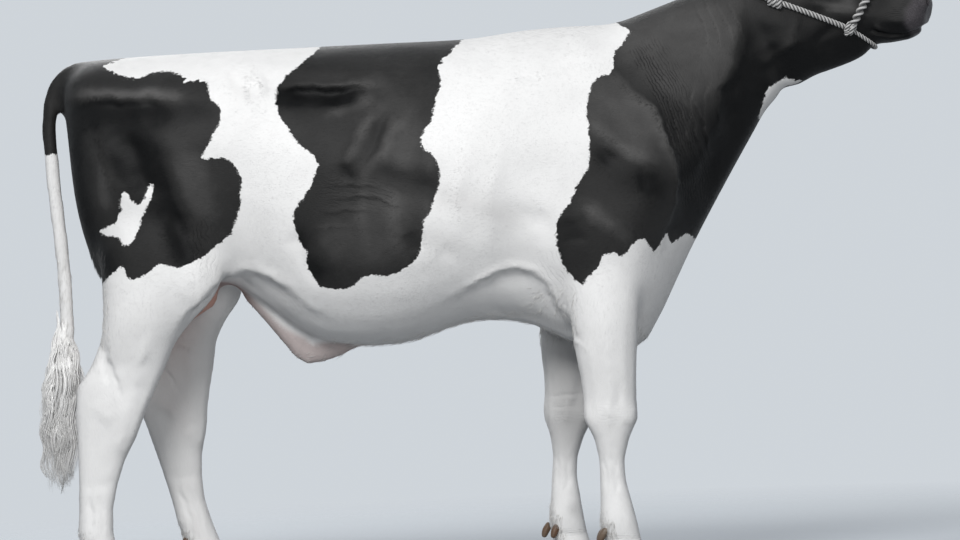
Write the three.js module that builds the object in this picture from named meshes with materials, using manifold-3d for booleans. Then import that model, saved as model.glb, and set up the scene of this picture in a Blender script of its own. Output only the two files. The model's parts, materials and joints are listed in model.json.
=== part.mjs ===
// A life-size standing Holstein bull in a rope halter, as closed solids that meet along thin cuts.
// Millimetres, +Z up, +X towards the head, +Y towards the bull's left side, origin on the floor
// under the middle of the body.
import * as THREE from "three";
import { mergeVertices } from "three/addons/utils/BufferGeometryUtils.js";
import Module from "manifold-3d";

const wasm = await Module();
wasm.setup();

// ---------------------------------------------------------------- driving dimensions
const GAP = 0.4; // clearance between neighbouring pieces
const WITHERS = 1583; // height at the withers
const HEAD = { poll: [745, 1735], slope: THREE.MathUtils.degToRad(-7.8), length: 566 };
const EAR = { length: 205, root: 20, widest: 50, thick: 7, cup: 22 };
const LEG_Y = { fore: 170, hind: 158 }; // the feet's distance from the middle plane
const EYE = { u: 207, drop: 52, y: 97, radius: 21 };
const NOSTRIL = { u: 534, drop: 33, y: 56, radius: 15 };
const ROPE_RADIUS = 7.2;
const TAIL_RADIUS = 19;
const CLAW = { spread: 29, halfWidth: 26.5, toe: 52, heel: 12 };
const FOOT_TOP = 170; // a leaning leg stands on a level foot below this height
const FORE_CUT_Z = 642; // the forelegs part from the chest just under the elbow
const HIND_CUT_Z = 846; // the hind legs part from the thighs at the flank

// The near legs are modelled as they stand; a leaning leg moves by lean times its depth under pivot.
const STANCE = {
  fore_right: { side: -1, lean: 0, pivot: 1550 },
  fore_left: { side: 1, lean: -0.103, pivot: 1550 },
  hind_right: { side: -1, lean: 0, pivot: 1035 },
  hind_left: { side: 1, lean: 0.31, pivot: 1035 },
};

// Each ring of a body tube is [ax, az, bx, bz, y, wideA, wideMiddle, wideB]: it runs from point a
// (the top of the trunk, or the front of a leg) to point b, with half-widths near a, midway and near b.
const TORSO = [
  [-1203, 1400, -1160, 1100, 0, 18, 30, 20],
  [-1196, 1462, -1132, 965, 0, 70, 110, 90],
  [-1172, 1508, -1098, 896, 0, 122, 178, 140],
  [-1120, 1535, -1040, 878, 0, 165, 228, 178],
  [-1040, 1542, -960, 866, 0, 205, 262, 206],
  [-920, 1547, -860, 866, 0, 232, 282, 220],
  [-780, 1549, -742, 884, 0, 256, 290, 216],
  [-610, 1550, -650, 832, 0, 272, 296, 216],
  [-450, 1552, -500, 718, 0, 246, 322, 240],
  [-230, 1554, -260, 693, 0, 226, 350, 268],
  [-20, 1557, -40, 750, 0, 214, 344, 256],
  [130, 1574, 110, 735, 0, 188, 314, 214],
  [270, 1581, 250, 672, 0, 150, 288, 186],
  [382, WITHERS, 410, 652, 0, 124, 272, 160],
  [440, 1600, 492, 762, 0, 114, 248, 136],
  [505, 1622, 582, 930, 0, 106, 210, 112],
  [580, 1648, 668, 1080, 0, 98, 172, 98],
  [650, 1674, 756, 1226, 0, 96, 146, 90],
  [705, 1697, 812, 1318, 0, 94, 130, 86],
  [752, 1718, 850, 1362, 0, 84, 112, 80],
];
const FORELEG = [
  [390, 1090, 200, 1090, 130, 30, 60, 40],
  [430, 970, 190, 965, 160, 58, 90, 64],
  [432, 860, 200, 855, 180, 68, 92, 70],
  [420, 750, 222, 755, 188, 64, 86, 62],
  [412, 668, 228, 674, 186, 62, 80, 58],
  [405, 570, 245, 574, 178, 60, 70, 50],
  [401, 487, 252, 490, 172, 58, 60, 50],
  [393, 436, 258, 438, 170, 60, 59, 52],
  [369, 387, 284, 390, 169, 46, 46, 40],
  [362, 330, 287, 334, 168, 38, 39, 36],
  [366, 275, 287, 280, 168, 38, 39, 36],
  [378, 228, 286, 232, 169, 46, 46, 44],
  [389, 178, 284, 180, 170, 52, 54, 50],
  [398, 126, 300, 116, 170, 48, 50, 48],
  [410, 82, 314, 50, LEG_Y.fore, 55, 59, 54],
];
const HINDLEG = [
  [-800, 1260, -1040, 1260, 105, 30, 60, 40],
  [-770, 1140, -1080, 1140, 132, 70, 116, 84],
  [-744, 1030, -1098, 1020, 152, 92, 126, 98],
  [-735, 945, -1094, 945, 166, 92, 118, 92],
  [-742, 885, -1090, 897, 170, 88, 110, 86],
  [-842, 778, -1091, 786, 170, 76, 94, 76],
  [-888, 720, -1104, 729, 165, 66, 78, 52],
  [-912, 665, -1130, 674, 161, 58, 60, 36],
  [-950, 591, -1172, 600, 158, 52, 52, 34],
  [-985, 520, -1179, 526, 158, 54, 54, 40],
  [-1012, 458, -1177, 465, 158, 50, 50, 38],
  [-1050, 380, -1177, 384, 158, 42, 42, 36],
  [-1074, 295, -1178, 300, 158, 38, 38, 36],
  [-1084, 235, -1181, 238, 158, 44, 44, 42],
  [-1080, 180, -1184, 182, 158, 52, 54, 50],
  [-1066, 126, -1164, 114, 158, 48, 50, 48],
  [-1052, 82, -1148, 50, LEG_Y.hind, 55, 59, 54],
];
// The head's rings are [u, rise, depth, wideTop, wideMiddle, wideJaw], u along the face from the poll.
const FACE = [
  [-40, -24, 250, 60, 74, 60],
  [0, -4, 300, 90, 104, 84],
  [60, 1, 324, 108, 116, 88],
  [120, 4, 328, 118, 114, 86],
  [172, 4, 326, 122, 108, 82],
  [215, 1, 313, 120, 102, 76],
  [262, -5, 291, 104, 92, 70],
  [315, -7, 267, 84, 81, 62],
  [370, -5, 238, 70, 74, 58],
  [425, -3, 202, 64, 70, 58],
  [470, -1, 182, 66, 74, 60],
  [510, 0, 167, 72, 80, 58],
  [532, -2, 151, 71, 78, 55],
  [549, -12, 136, 63, 70, 48],
  [560, -28, 118, 48, 54, 37],
  [566, -48, 99, 22, 26, 16],
];
const SHEATH = [
  [-705, 930, -708, 850, 0, 14, 20, 12],
  [-655, 880, -655, 790, 0, 34, 34, 22],
  [-595, 830, -597, 716, 0, 44, 40, 24],
  [-545, 790, -545, 655, 0, 46, 40, 22],
  [-500, 770, -500, 648, 0, 44, 38, 24],
  [-435, 755, -435, 663, 0, 40, 36, 26],
  [-392, 745, -388, 684, 0, 20, 20, 14],
];
const SCROTUM = [
  [-795, 930, -985, 930, 0, 40, 46, 40],
  [-800, 840, -975, 850, 0, 40, 48, 42],
  [-862, 770, -1000, 775, 0, 46, 58, 50],
  [-896, 715, -1018, 715, 0, 54, 66, 56],
  [-905, 665, -1018, 662, 0, 50, 62, 52],
  [-925, 628, -1000, 626, 0, 28, 34, 28],
];
const TAIL = [
  [-1080, 1505], [-1140, 1512], [-1182, 1494], [-1210, 1460], [-1226, 1412], [-1233, 1345],
  [-1231, 1280], [-1227, 1200], [-1220, 1110], [-1212, 1010], [-1206, 900], [-1205, 800], [-1206, 745],
];
const SWITCH = [
  [-1188, 748, -1225, 748, 0, 16, 18, 16],
  [-1180, 690, -1246, 690, 0, 26, 30, 26],
  [-1184, 600, -1270, 600, 0, 36, 42, 36],
  [-1190, 490, -1284, 490, 0, 38, 46, 38],
  [-1196, 380, -1284, 380, 0, 32, 38, 32],
  [-1218, 310, -1268, 310, 0, 14, 16, 14],
];

// Swellings (+) and hollows (-) of muscle and bone, the same on both sides:
// [x, y, z, reachX, reachY, reachZ, height].
const TORSO_FORMS = [
  [-640, 262, 1462, 70, 80, 42, 26], // hook bone
  [-1140, 130, 1452, 46, 60, 46, 20], // pin bone
  [-1120, 150, 1140, 90, 80, 210, 20], // ham
  [-1185, 0, 1150, 70, 42, 300, -26], // cleft between the hams
  [-900, 150, 1520, 130, 90, 60, -8], // dip between hook and pin
  [-860, 280, 1310, 110, 90, 90, 14], // hip joint
  [-460, 250, 1400, 125, 90, 36, -30], // hollow of the flank under the loin
  [-430, 300, 1320, 110, 90, 80, -12],
  [-980, 250, 1130, 100, 90, 170, 10], // back of the thigh
  [-690, 270, 1080, 70, 80, 150, -16], // in front of the thigh
  [300, 130, 1480, 60, 70, 90, 12], // top of the shoulder blade
  [430, 235, 1100, 75, 90, 90, 30], // point of the shoulder
  [280, 265, 930, 100, 90, 120, 20], // triceps
  [225, 220, 740, 45, 60, 60, 16], // elbow
  [95, 280, 930, 55, 90, 200, -14], // behind the shoulder
  [450, 0, 720, 80, 60, 80, 8], // brisket
];
const LEG_FORMS = [
  [-790, 255, 905, 70, 70, 70, 12], // stifle
  [-1085, 158, 655, 26, 90, 60, -9], // hollow in front of the hock tendon
  [-1160, 158, 590, 26, 60, 34, 7], // point of the hock
  [-1010, 200, 500, 40, 40, 40, 6], // hock joint
  [-1000, 112, 480, 40, 40, 40, 8],
  [395, 170, 452, 40, 70, 40, 7], // front of the knee
  [262, 195, 462, 24, 40, 30, 8], // back of the knee
];

const paint = (color, roughness) => new THREE.MeshStandardMaterial({ color, roughness, metalness: 0 });
const MATERIALS = {
  blackCoat: paint(0x1c1b1c, 0.6),
  whiteCoat: paint(0xe9e7e4, 0.7),
  bareSkin: paint(0xc9a79c, 0.6),
  horn: paint(0x6b5a48, 0.5),
  eye: paint(0x17100c, 0.1),
  rope: paint(0xa7a39d, 0.8),
};

// ---------------------------------------------------------------- geometry tools
const asSolid = (geometry) => {
  const { position } = geometry.attributes;
  return new wasm.Manifold(new wasm.Mesh({
    numProp: 3,
    vertProperties: new Float32Array(position.array),
    triVerts: new Uint32Array(geometry.index.array),
  }));
};

const fromSolid = (solid) => {
  const { vertProperties, triVerts } = solid.getMesh();
  const geometry = new THREE.BufferGeometry();
  geometry.setAttribute("position", new THREE.BufferAttribute(vertProperties, 3));
  geometry.setIndex(new THREE.BufferAttribute(triVerts, 1));
  geometry.computeVertexNormals();
  return geometry;
};

// Shared vertices are joined, and faces turned outwards if the tube was bent the other way round.
function closed(geometry) {
  geometry.deleteAttribute("normal");
  geometry.deleteAttribute("uv");
  const merged = mergeVertices(geometry, 1e-3);
  if (asSolid(merged).volume() < 0) merged.index.array.reverse();
  return merged;
}

// Moves every point along its normal: outwards by grow, and by the forms near it.
function swell(geometry, forms, grow) {
  geometry.computeVertexNormals();
  const { position, normal } = geometry.attributes;
  for (let i = 0; i < position.count; i++) {
    const [x, y, z] = [position.getX(i), Math.abs(position.getY(i)), position.getZ(i)];
    const move = forms.reduce((sum, [fx, fy, fz, rx, ry, rz, height]) => {
      const near = ((x - fx) / rx) ** 2 + ((y - fy) / ry) ** 2 + ((z - fz) / rz) ** 2;
      return sum + height * Math.exp(-near);
    }, grow);
    position.setXYZ(
      i,
      position.getX(i) + move * normal.getX(i),
      position.getY(i) + move * normal.getY(i),
      z + move * normal.getZ(i),
    );
  }
  return geometry;
}

// The rings blended along the tube, by the length of its middle line.
function blended(rings) {
  let travelled = 0;
  const places = rings.map((ring, i) => {
    const before = rings[Math.max(i - 1, 0)];
    const middle = (r) => [(r[0] + r[2]) / 2, (r[1] + r[3]) / 2];
    const [[x, z], [px, pz]] = [middle(ring), middle(before)];
    travelled += Math.hypot(x - px, z - pz);
    return travelled;
  });
  const spline = new THREE.CubicInterpolant(places, rings.flat(), rings[0].length);
  return (share) => Array.from(spline.evaluate(share * travelled));
}

// A point of a ring: across runs over -1..1 from side to side, and down from 1 at a to -1 at b.
function onRing([ax, az, bx, bz, y, wideA, wideMiddle, wideB], across, down) {
  const wide = wideMiddle + ((wideA - wideB) / 2) * down + ((wideA + wideB) / 2 - wideMiddle) * down * down;
  const along = (1 + down) / 2;
  return [bx + (ax - bx) * along, y + wide * across, bz + (az - bz) * along];
}

const rounded = (value, power) => Math.sign(value) * Math.abs(value) ** power;

// A cylinder bent into the tube that the rings describe; square above 2 flattens its sides.
function tube(rings, { around, along, square = 2.4, forms = [], grow = 0 }) {
  const geometry = new THREE.CylinderGeometry(1, 1, 1, around, along);
  const ringAt = blended(rings);
  const { position } = geometry.attributes;
  for (let i = 0; i < position.count; i++) {
    const ring = ringAt(0.5 - position.getY(i));
    const across = rounded(position.getX(i), 2 / square);
    const down = rounded(position.getZ(i), 2 / square);
    position.setXYZ(i, ...onRing(ring, across, down));
  }
  return swell(closed(geometry), forms, grow);
}

// A thin box through the line (x1, z1) to (x2, z2), from side y1 to side y2.
function slab(x1, z1, x2, z2, y1, y2) {
  const box = new THREE.BoxGeometry(Math.hypot(x2 - x1, z2 - z1), Math.abs(y2 - y1), GAP);
  box.rotateY(-Math.atan2(z2 - z1, x2 - x1));
  box.translate((x1 + x2) / 2, (y1 + y2) / 2, (z1 + z2) / 2);
  return asSolid(closed(box));
}

// An ellipsoid's or ball's solid at a place.
function ball(radius, [x, y, z], [sx, sy, sz] = [1, 1, 1], detail = 12) {
  const sphere = new THREE.SphereGeometry(radius, detail, Math.round(detail * 0.66));
  sphere.scale(sx, sy, sz);
  sphere.translate(x, y, z);
  return asSolid(closed(sphere));
}

const pieceNear = (pieces, point) => {
  const target = new THREE.Vector3(...point);
  const centre = (piece) => {
    const { min, max } = piece.boundingBox();
    return new THREE.Vector3(...min).add(new THREE.Vector3(...max)).multiplyScalar(0.5);
  };
  return pieces.reduce((best, piece) =>
    centre(piece).distanceTo(target) < centre(best).distanceTo(target) ? piece : best);
};

const largest = (solid) => solid.decompose().reduce((a, b) => (a.volume() > b.volume() ? a : b));

// ---------------------------------------------------------------- the body
const torso = (grow = 0) =>
  asSolid(tube(TORSO, { around: 26, along: 36, square: 2.75, forms: TORSO_FORMS, grow }));

function leg(rings, { side, lean, pivot }, grow = 0) {
  const geometry = tube(rings, { around: 12, along: 18, square: 2.3, forms: LEG_FORMS, grow });
  return asSolid(stood(geometry, side, lean, pivot));
}

// Leans a right-angled leg into its stance and puts it on its side of the body.
function stood(geometry, side, lean, pivot) {
  const { position } = geometry.attributes;
  for (let i = 0; i < position.count; i++) {
    const z = position.getZ(i);
    const shift = lean * (pivot - Math.max(z, FOOT_TOP));
    position.setXYZ(i, position.getX(i) + shift, side * position.getY(i), z);
  }
  return closed(geometry);
}

// From the head's own lengths to the part's: u along the face, drop square to it, under the brow line.
function fromFace(u, drop) {
  const [cos, sin] = [Math.cos(HEAD.slope), Math.sin(HEAD.slope)];
  return [HEAD.poll[0] + u * cos + drop * sin, HEAD.poll[1] + u * sin - drop * cos];
}
const FACE_RINGS = FACE.map(([u, rise, depth, ...wide]) => [...fromFace(u, -rise), ...fromFace(u, depth), 0, ...wide]);
const faceForm = ([u, drop, y, ru, rd, ry, height]) => {
  const [x, z] = fromFace(u, drop);
  return [x, y, z, ru, ry, rd, height];
};
const FACE_FORMS = [
  [186, 20, 112, 38, 24, 60, 12], // brow over the eye
  [232, 84, 108, 42, 22, 60, 6], // rim under the eye
  [150, 190, 100, 75, 75, 60, 12], // cheek muscle
  [325, 122, 74, 60, 24, 40, 6], // cheek ridge
  [60, 30, 100, 40, 60, 50, 10], // root of the ear
  [526, 36, 64, 26, 28, 40, 10], // wing of the nostril
  [430, 156, 60, 60, 24, 40, -5], // behind the lower lip
  [508, 138, 50, 40, 30, 50, 6], // lower lip and chin
].map(faceForm);
const head = (grow = 0) =>
  asSolid(tube(FACE_RINGS, { around: 20, along: 20, square: 2.35, forms: FACE_FORMS, grow }));

// A cupped leaf, from its root on the head out to its tip, opening forwards.
function ear(side, grow = 0) {
  const geometry = new THREE.CylinderGeometry(1, 1, 1, 12, 7);
  const { position } = geometry.attributes;
  const root = new THREE.Vector3(798, 84 * side, 1708);
  const out = new THREE.Vector3(-0.24, 0.96 * side, 0.06).normalize();
  const face = new THREE.Vector3(0.9, 0.24 * side, -0.16).normalize();
  const up = new THREE.Vector3().crossVectors(face, out).multiplyScalar(-side).normalize();
  for (let i = 0; i < position.count; i++) {
    const share = 0.5 - position.getY(i);
    const [across, deep] = [position.getX(i), position.getZ(i)];
    const fullness = Math.sin(Math.PI * (0.02 + share * 0.9) ** 1.1);
    const tip = Math.sqrt(Math.max(0.08, 1 - share ** 5));
    const wide = (EAR.root * (1 - share) + EAR.widest * fullness) * tip;
    const cup = EAR.cup * Math.sin(Math.PI * Math.min(1, 0.25 + share * 0.7)) * (across ** 2 - 0.45);
    const point = root.clone()
      .addScaledVector(out, share * EAR.length)
      .addScaledVector(up, wide * across - 14 * share * share)
      .addScaledVector(face, EAR.thick * (1.6 - share) * deep + cup);
    position.setXYZ(i, point.x, point.y, point.z);
  }
  return asSolid(swell(closed(geometry), [], grow));
}

const legs = Object.entries(STANCE).map(([name, stance]) => ({
  name,
  stance,
  solid: leg(name.startsWith("fore") ? FORELEG : HINDLEG, stance),
  grown: leg(name.startsWith("fore") ? FORELEG : HINDLEG, stance, GAP),
}));
const cuts = [
  slab(380, 1760, 590, 700, -500, 500), // withers to brisket, between neck and trunk
  slab(712, 1830, 872, 1290, -300, 300), // behind the ears and jaw, between head and neck
  slab(-1200, HIND_CUT_Z, -692, HIND_CUT_Z, -400, 400),
  slab(60, FORE_CUT_Z, 520, FORE_CUT_Z, -400, 400),
];
for (const side of [-1, 1]) {
  const earCut = new THREE.BoxGeometry(190, GAP, 220);
  earCut.translate(778, side * 126, 1710);
  cuts.push(asSolid(closed(earCut)));
}
const whole = [torso(), head(), ear(-1), ear(1), ...legs.map((l) => l.solid)].reduce((a, b) => a.add(b));
const pieces = cuts.reduce((body, cut) => body.subtract(cut), whole).decompose()
  .filter((piece) => piece.volume() > 1000);

const meshes = [];
function addMesh(name, solid, material) {
  const mesh = new THREE.Mesh(fromSolid(solid), material);
  mesh.name = name;
  meshes.push(mesh);
  return mesh;
}

addMesh("trunk", pieceNear(pieces, [-370, 0, 1110]), MATERIALS.whiteCoat);
addMesh("neck", pieceNear(pieces, [620, 0, 1300]), MATERIALS.blackCoat);

// The eyeballs sit in sockets cut to them, and the nostrils are pits in the muzzle.
const onFace = ({ u, drop, y }, side) => {
  const [x, z] = fromFace(u, drop);
  return [x, side * y, z];
};
let skull = pieceNear(pieces, [1030, 0, 1560]);
for (const [name, side] of [["right", -1], ["left", 1]]) {
  skull = skull.subtract(ball(EYE.radius + GAP, onFace(EYE, side)));
  skull = skull.subtract(ball(NOSTRIL.radius, onFace(NOSTRIL, side), [1, 0.75, 1.2], 8));
  addMesh("eye_" + name, ball(EYE.radius, onFace(EYE, side)), MATERIALS.eye);
  addMesh("ear_" + name, pieceNear(pieces, [740, side * 200, 1700]), MATERIALS.blackCoat);
}
addMesh("head", largest(skull), MATERIALS.blackCoat);

// ---------------------------------------------------------------- feet
const FOOT = {
  fore: { front: [410, 82], back: [314, 50], dewclaw: [292, 132], y: LEG_Y.fore },
  hind: { front: [-1052, 82], back: [-1148, 50], dewclaw: [-1174, 134], y: LEG_Y.hind },
};

// One claw: its top follows the slope of the coronet, its sole is flat on the floor.
function claw({ front, back, y }, outer, { side, lean, pivot }) {
  const [fx, fz, bx, bz] = [...front, ...back];
  const { spread, halfWidth, toe, heel } = CLAW;
  const at = y + outer * spread;
  const rings = [
    [fx, fz - GAP, bx, bz - GAP, at, halfWidth * 0.8, halfWidth, halfWidth * 0.8],
    [fx + toe * 0.5, fz * 0.52, bx + heel * 0.2, bz * 0.55, at, halfWidth * 0.78, halfWidth * 1.04, halfWidth * 0.84],
    [fx + toe * 0.95, fz * 0.08, bx + heel * 0.8, bz * 0.1, at, halfWidth * 0.74, halfWidth * 1.08, halfWidth * 0.86],
    [fx + toe, 0, bx + heel, 0, at, halfWidth * 0.7, halfWidth * 1.04, halfWidth * 0.84],
  ];
  return asSolid(stood(tube(rings, { around: 10, along: 3, square: 2.3 }), side, lean, pivot));
}

function dewclaw({ dewclaw: [x, z], y }, outer, { side, lean, pivot }) {
  const at = y + outer * 26;
  const rings = [
    [x + 20, z + 22, x - 2, z + 26, at, 9, 10, 9],
    [x + 8, z + 2, x - 18, z + 8, at, 11, 13, 11],
    [x - 4, z - 18, x - 20, z - 14, at, 6, 8, 6],
  ];
  return asSolid(stood(tube(rings, { around: 6, along: 2, square: 2 }), side, lean, pivot));
}

const legBoxes = {
  fore_right: [300, -175, 340], fore_left: [160, 175, 340],
  hind_right: [-1000, -165, 450], hind_left: [-800, 165, 450],
};
for (const { name, stance, grown } of legs) {
  const foot = FOOT[name.slice(0, 4)];
  addMesh("leg_" + name, pieceNear(pieces, legBoxes[name]), MATERIALS.whiteCoat);
  for (const [place, outer] of [["outer", 1], ["inner", -1]]) {
    addMesh(`claw_${name}_${place}`, claw(foot, outer, stance), MATERIALS.horn);
    addMesh(`dewclaw_${name}_${place}`, largest(dewclaw(foot, outer, stance).subtract(grown)), MATERIALS.horn);
  }
}

// ---------------------------------------------------------------- tail, sheath and scrotum
const grownTorso = torso(GAP);
const grownHindlegs = legs.filter((l) => l.name.startsWith("hind")).map((l) => l.grown);

function tailSolid() {
  const line = new THREE.CatmullRomCurve3(TAIL.map(([x, z]) => new THREE.Vector3(x, 0, z)));
  const steps = 24;
  const geometry = new THREE.CylinderGeometry(1, 1, 1, 9, steps);
  const { position } = geometry.attributes;
  for (let i = 0; i < position.count; i++) {
    const share = 0.5 - position.getY(i);
    const [point, ahead] = [line.getPointAt(share), line.getTangentAt(share)];
    const radius = TAIL_RADIUS * (0.92 + 0.62 * Math.max(0, 1 - share * 3.2) - 0.06 * share);
    const lift = radius * position.getZ(i);
    position.setXYZ(i, point.x - ahead.z * lift, radius * position.getX(i), point.z + ahead.x * lift);
  }
  return asSolid(closed(geometry));
}
addMesh("tail", largest(tailSolid().subtract(grownTorso)), MATERIALS.whiteCoat);
addMesh("tail_switch", asSolid(tube(SWITCH, { around: 10, along: 8, square: 2 })).translate([0, 0, -GAP - 3]), MATERIALS.whiteCoat);

const sheath = asSolid(tube(SHEATH, { around: 12, along: 9, square: 2.2 }));
addMesh("sheath", largest(sheath.subtract(grownTorso)), MATERIALS.bareSkin);
const scrotum = [grownTorso, ...grownHindlegs].reduce(
  (solid, other) => solid.subtract(other),
  asSolid(tube(SCROTUM, { around: 14, along: 9, square: 2 })),
);
addMesh("scrotum", largest(scrotum), MATERIALS.bareSkin);

// ---------------------------------------------------------------- halter
const KNOT = { at: [1074, 1539], radius: 17, shape: [1.25, 0.8, 1.15] };
const bareHead = new THREE.Mesh(fromSolid(torso().add(head())));
bareHead.material.side = THREE.DoubleSide;
const clearHead = [head(GAP), ear(-1, GAP), ear(1, GAP)].reduce((a, b) => a.add(b), grownTorso);

// The rope's line from knot to knot: looked for from a centre in the middle plane, it lies on the
// head in a plane that slants towards the given bearing, over or under the head.
function aroundHead([cx, cz], bearing, firstAngle, count) {
  const centre = new THREE.Vector3(cx, 0, cz);
  const ray = new THREE.Raycaster();
  const lift = ROPE_RADIUS + 1.6;
  return Array.from({ length: count + 1 }, (_, i) => {
    const angle = firstAngle + (Math.PI - 2 * firstAngle) * (i / count);
    const away = new THREE.Vector3(
      Math.cos(bearing) * Math.sin(angle),
      -Math.cos(angle),
      Math.sin(bearing) * Math.sin(angle),
    );
    ray.set(centre.clone().addScaledVector(away, 600), away.clone().negate());
    return ray.intersectObject(bareHead)[0].point.addScaledVector(away, lift);
  });
}

function rope(points) {
  const section = new THREE.Shape().absarc(0, 0, ROPE_RADIUS, 0, 2 * Math.PI, false);
  const geometry = new THREE.ExtrudeGeometry(section, {
    extrudePath: new THREE.CatmullRomCurve3(points),
    steps: Math.round(points.length * 1.2),
    curveSegments: 3,
  });
  return asSolid(closed(geometry));
}

const bearingTo = ([x, z]) => Math.atan2(z - KNOT.at[1], x - KNOT.at[0]);
const knotPoints = [-1, 1].map((side) => {
  const [x, z] = KNOT.at;
  const ray = new THREE.Raycaster(new THREE.Vector3(x, side * 400, z), new THREE.Vector3(0, -side, 0));
  return ray.intersectObject(bareHead)[0].point.addScaledVector(new THREE.Vector3(0, side, 0), 5);
});
const knots = knotPoints.map((p) => ball(KNOT.radius, p.toArray(), KNOT.shape, 10).subtract(clearHead));
const grownKnots = knotPoints.map((p) => ball(KNOT.radius + GAP, p.toArray(), KNOT.shape, 10));
const straps = [
  ["halter_nose", aroundHead(KNOT.at, bearingTo([1111, 1618]), 0, 14)],
  ["halter_chin", aroundHead(KNOT.at, bearingTo([1137, 1494]), 0, 12)],
  ["halter_headstall", aroundHead([882, 1618], bearingTo([690, 1697]), -1.17, 22)],
];
for (const [name, points] of straps) {
  const strap = [...grownKnots, clearHead].reduce((solid, other) => solid.subtract(other), rope(points));
  addMesh(name, largest(strap), MATERIALS.rope);
}
addMesh("halter_knot_right", largest(knots[0]), MATERIALS.rope);
addMesh("halter_knot_left", largest(knots[1]), MATERIALS.rope);

// The origin is on the floor, in the middle of the model's length and width.
const bull = new THREE.Group();
bull.add(...meshes);
const extent = new THREE.Box3().setFromObject(bull, true);
const middle = extent.getCenter(new THREE.Vector3());
bull.position.set(-middle.x, -middle.y, -extent.min.z);
export default bull;
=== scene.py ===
"""A life-size standing Holstein bull in a rope halter: coat, head, feet, tail and stage."""

import json
import math

import bmesh
import bpy
import numpy as np
from bpy.props import FloatProperty, FloatVectorProperty, IntProperty, PointerProperty
from mathutils import Matrix, Vector
from mathutils.bvhtree import BVHTree

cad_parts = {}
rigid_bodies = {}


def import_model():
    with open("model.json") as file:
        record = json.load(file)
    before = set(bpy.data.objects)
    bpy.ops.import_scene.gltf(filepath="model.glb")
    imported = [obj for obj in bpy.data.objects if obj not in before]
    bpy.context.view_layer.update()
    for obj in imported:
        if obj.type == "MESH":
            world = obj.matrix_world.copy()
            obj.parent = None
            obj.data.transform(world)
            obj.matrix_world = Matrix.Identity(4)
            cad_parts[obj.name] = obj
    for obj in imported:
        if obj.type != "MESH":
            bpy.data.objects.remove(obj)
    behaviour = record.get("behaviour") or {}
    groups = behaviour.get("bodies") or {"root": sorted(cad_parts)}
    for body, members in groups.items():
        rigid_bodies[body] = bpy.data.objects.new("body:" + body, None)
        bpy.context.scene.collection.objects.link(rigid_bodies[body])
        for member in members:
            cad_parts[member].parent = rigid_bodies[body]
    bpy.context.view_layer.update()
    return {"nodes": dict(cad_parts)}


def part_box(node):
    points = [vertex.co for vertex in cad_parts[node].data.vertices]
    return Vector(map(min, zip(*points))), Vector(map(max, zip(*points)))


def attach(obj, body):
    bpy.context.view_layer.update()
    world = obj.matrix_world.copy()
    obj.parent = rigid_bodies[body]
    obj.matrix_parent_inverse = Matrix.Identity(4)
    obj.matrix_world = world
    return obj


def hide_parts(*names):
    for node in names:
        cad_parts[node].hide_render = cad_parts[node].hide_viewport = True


bl_info = {
    "name": "Holstein Bull",
    "version": (1, 0, 0),
    "blender": (4, 5, 0),
    "location": "View3D > Sidebar > Bull",
    "description": "Dresses the solids of a standing bull with skin, coat, feet, eyes and a rope halter",
    "category": "Object",
}

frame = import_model()

SIDES = {"right": -1.0, "left": 1.0}
LEGS = ("fore_right", "fore_left", "hind_right", "hind_left")
HEAD_TILT = math.radians(-7.8)  # the face runs slightly down towards the muzzle
LEFT_LEAN = {"fore_left": (-0.103, 1.550), "hind_left": (0.31, 1.035)}  # lean and its pivot height
FOOT_TOP = 0.170
TRUNK_HIND, TRUNK_FORE = -0.62, 0.12  # between the legs, where the coat lies along the body
LEG_WRINKLE_TOP = 0.70  # below this height, wrinkles are drawn on the legs as they stand upright
NARROW_CREASE = 12  # millimetres, the width under which a crease needs a finer mesh
SEEDS = {"coat": 11, "switch": 23, "fringes": 31, "lashes": 5}


def middle_of(node):
    low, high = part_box(node)
    return (low + high) / 2


EYE_RADIUS = (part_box("eye_right")[1].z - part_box("eye_right")[0].z) / 2
POLL = Vector((middle_of("eye_right").x - 0.198, 0.0, middle_of("eye_right").z + 0.0796))
FACE_COS, FACE_SIN = math.cos(HEAD_TILT), math.sin(HEAD_TILT)

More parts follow.
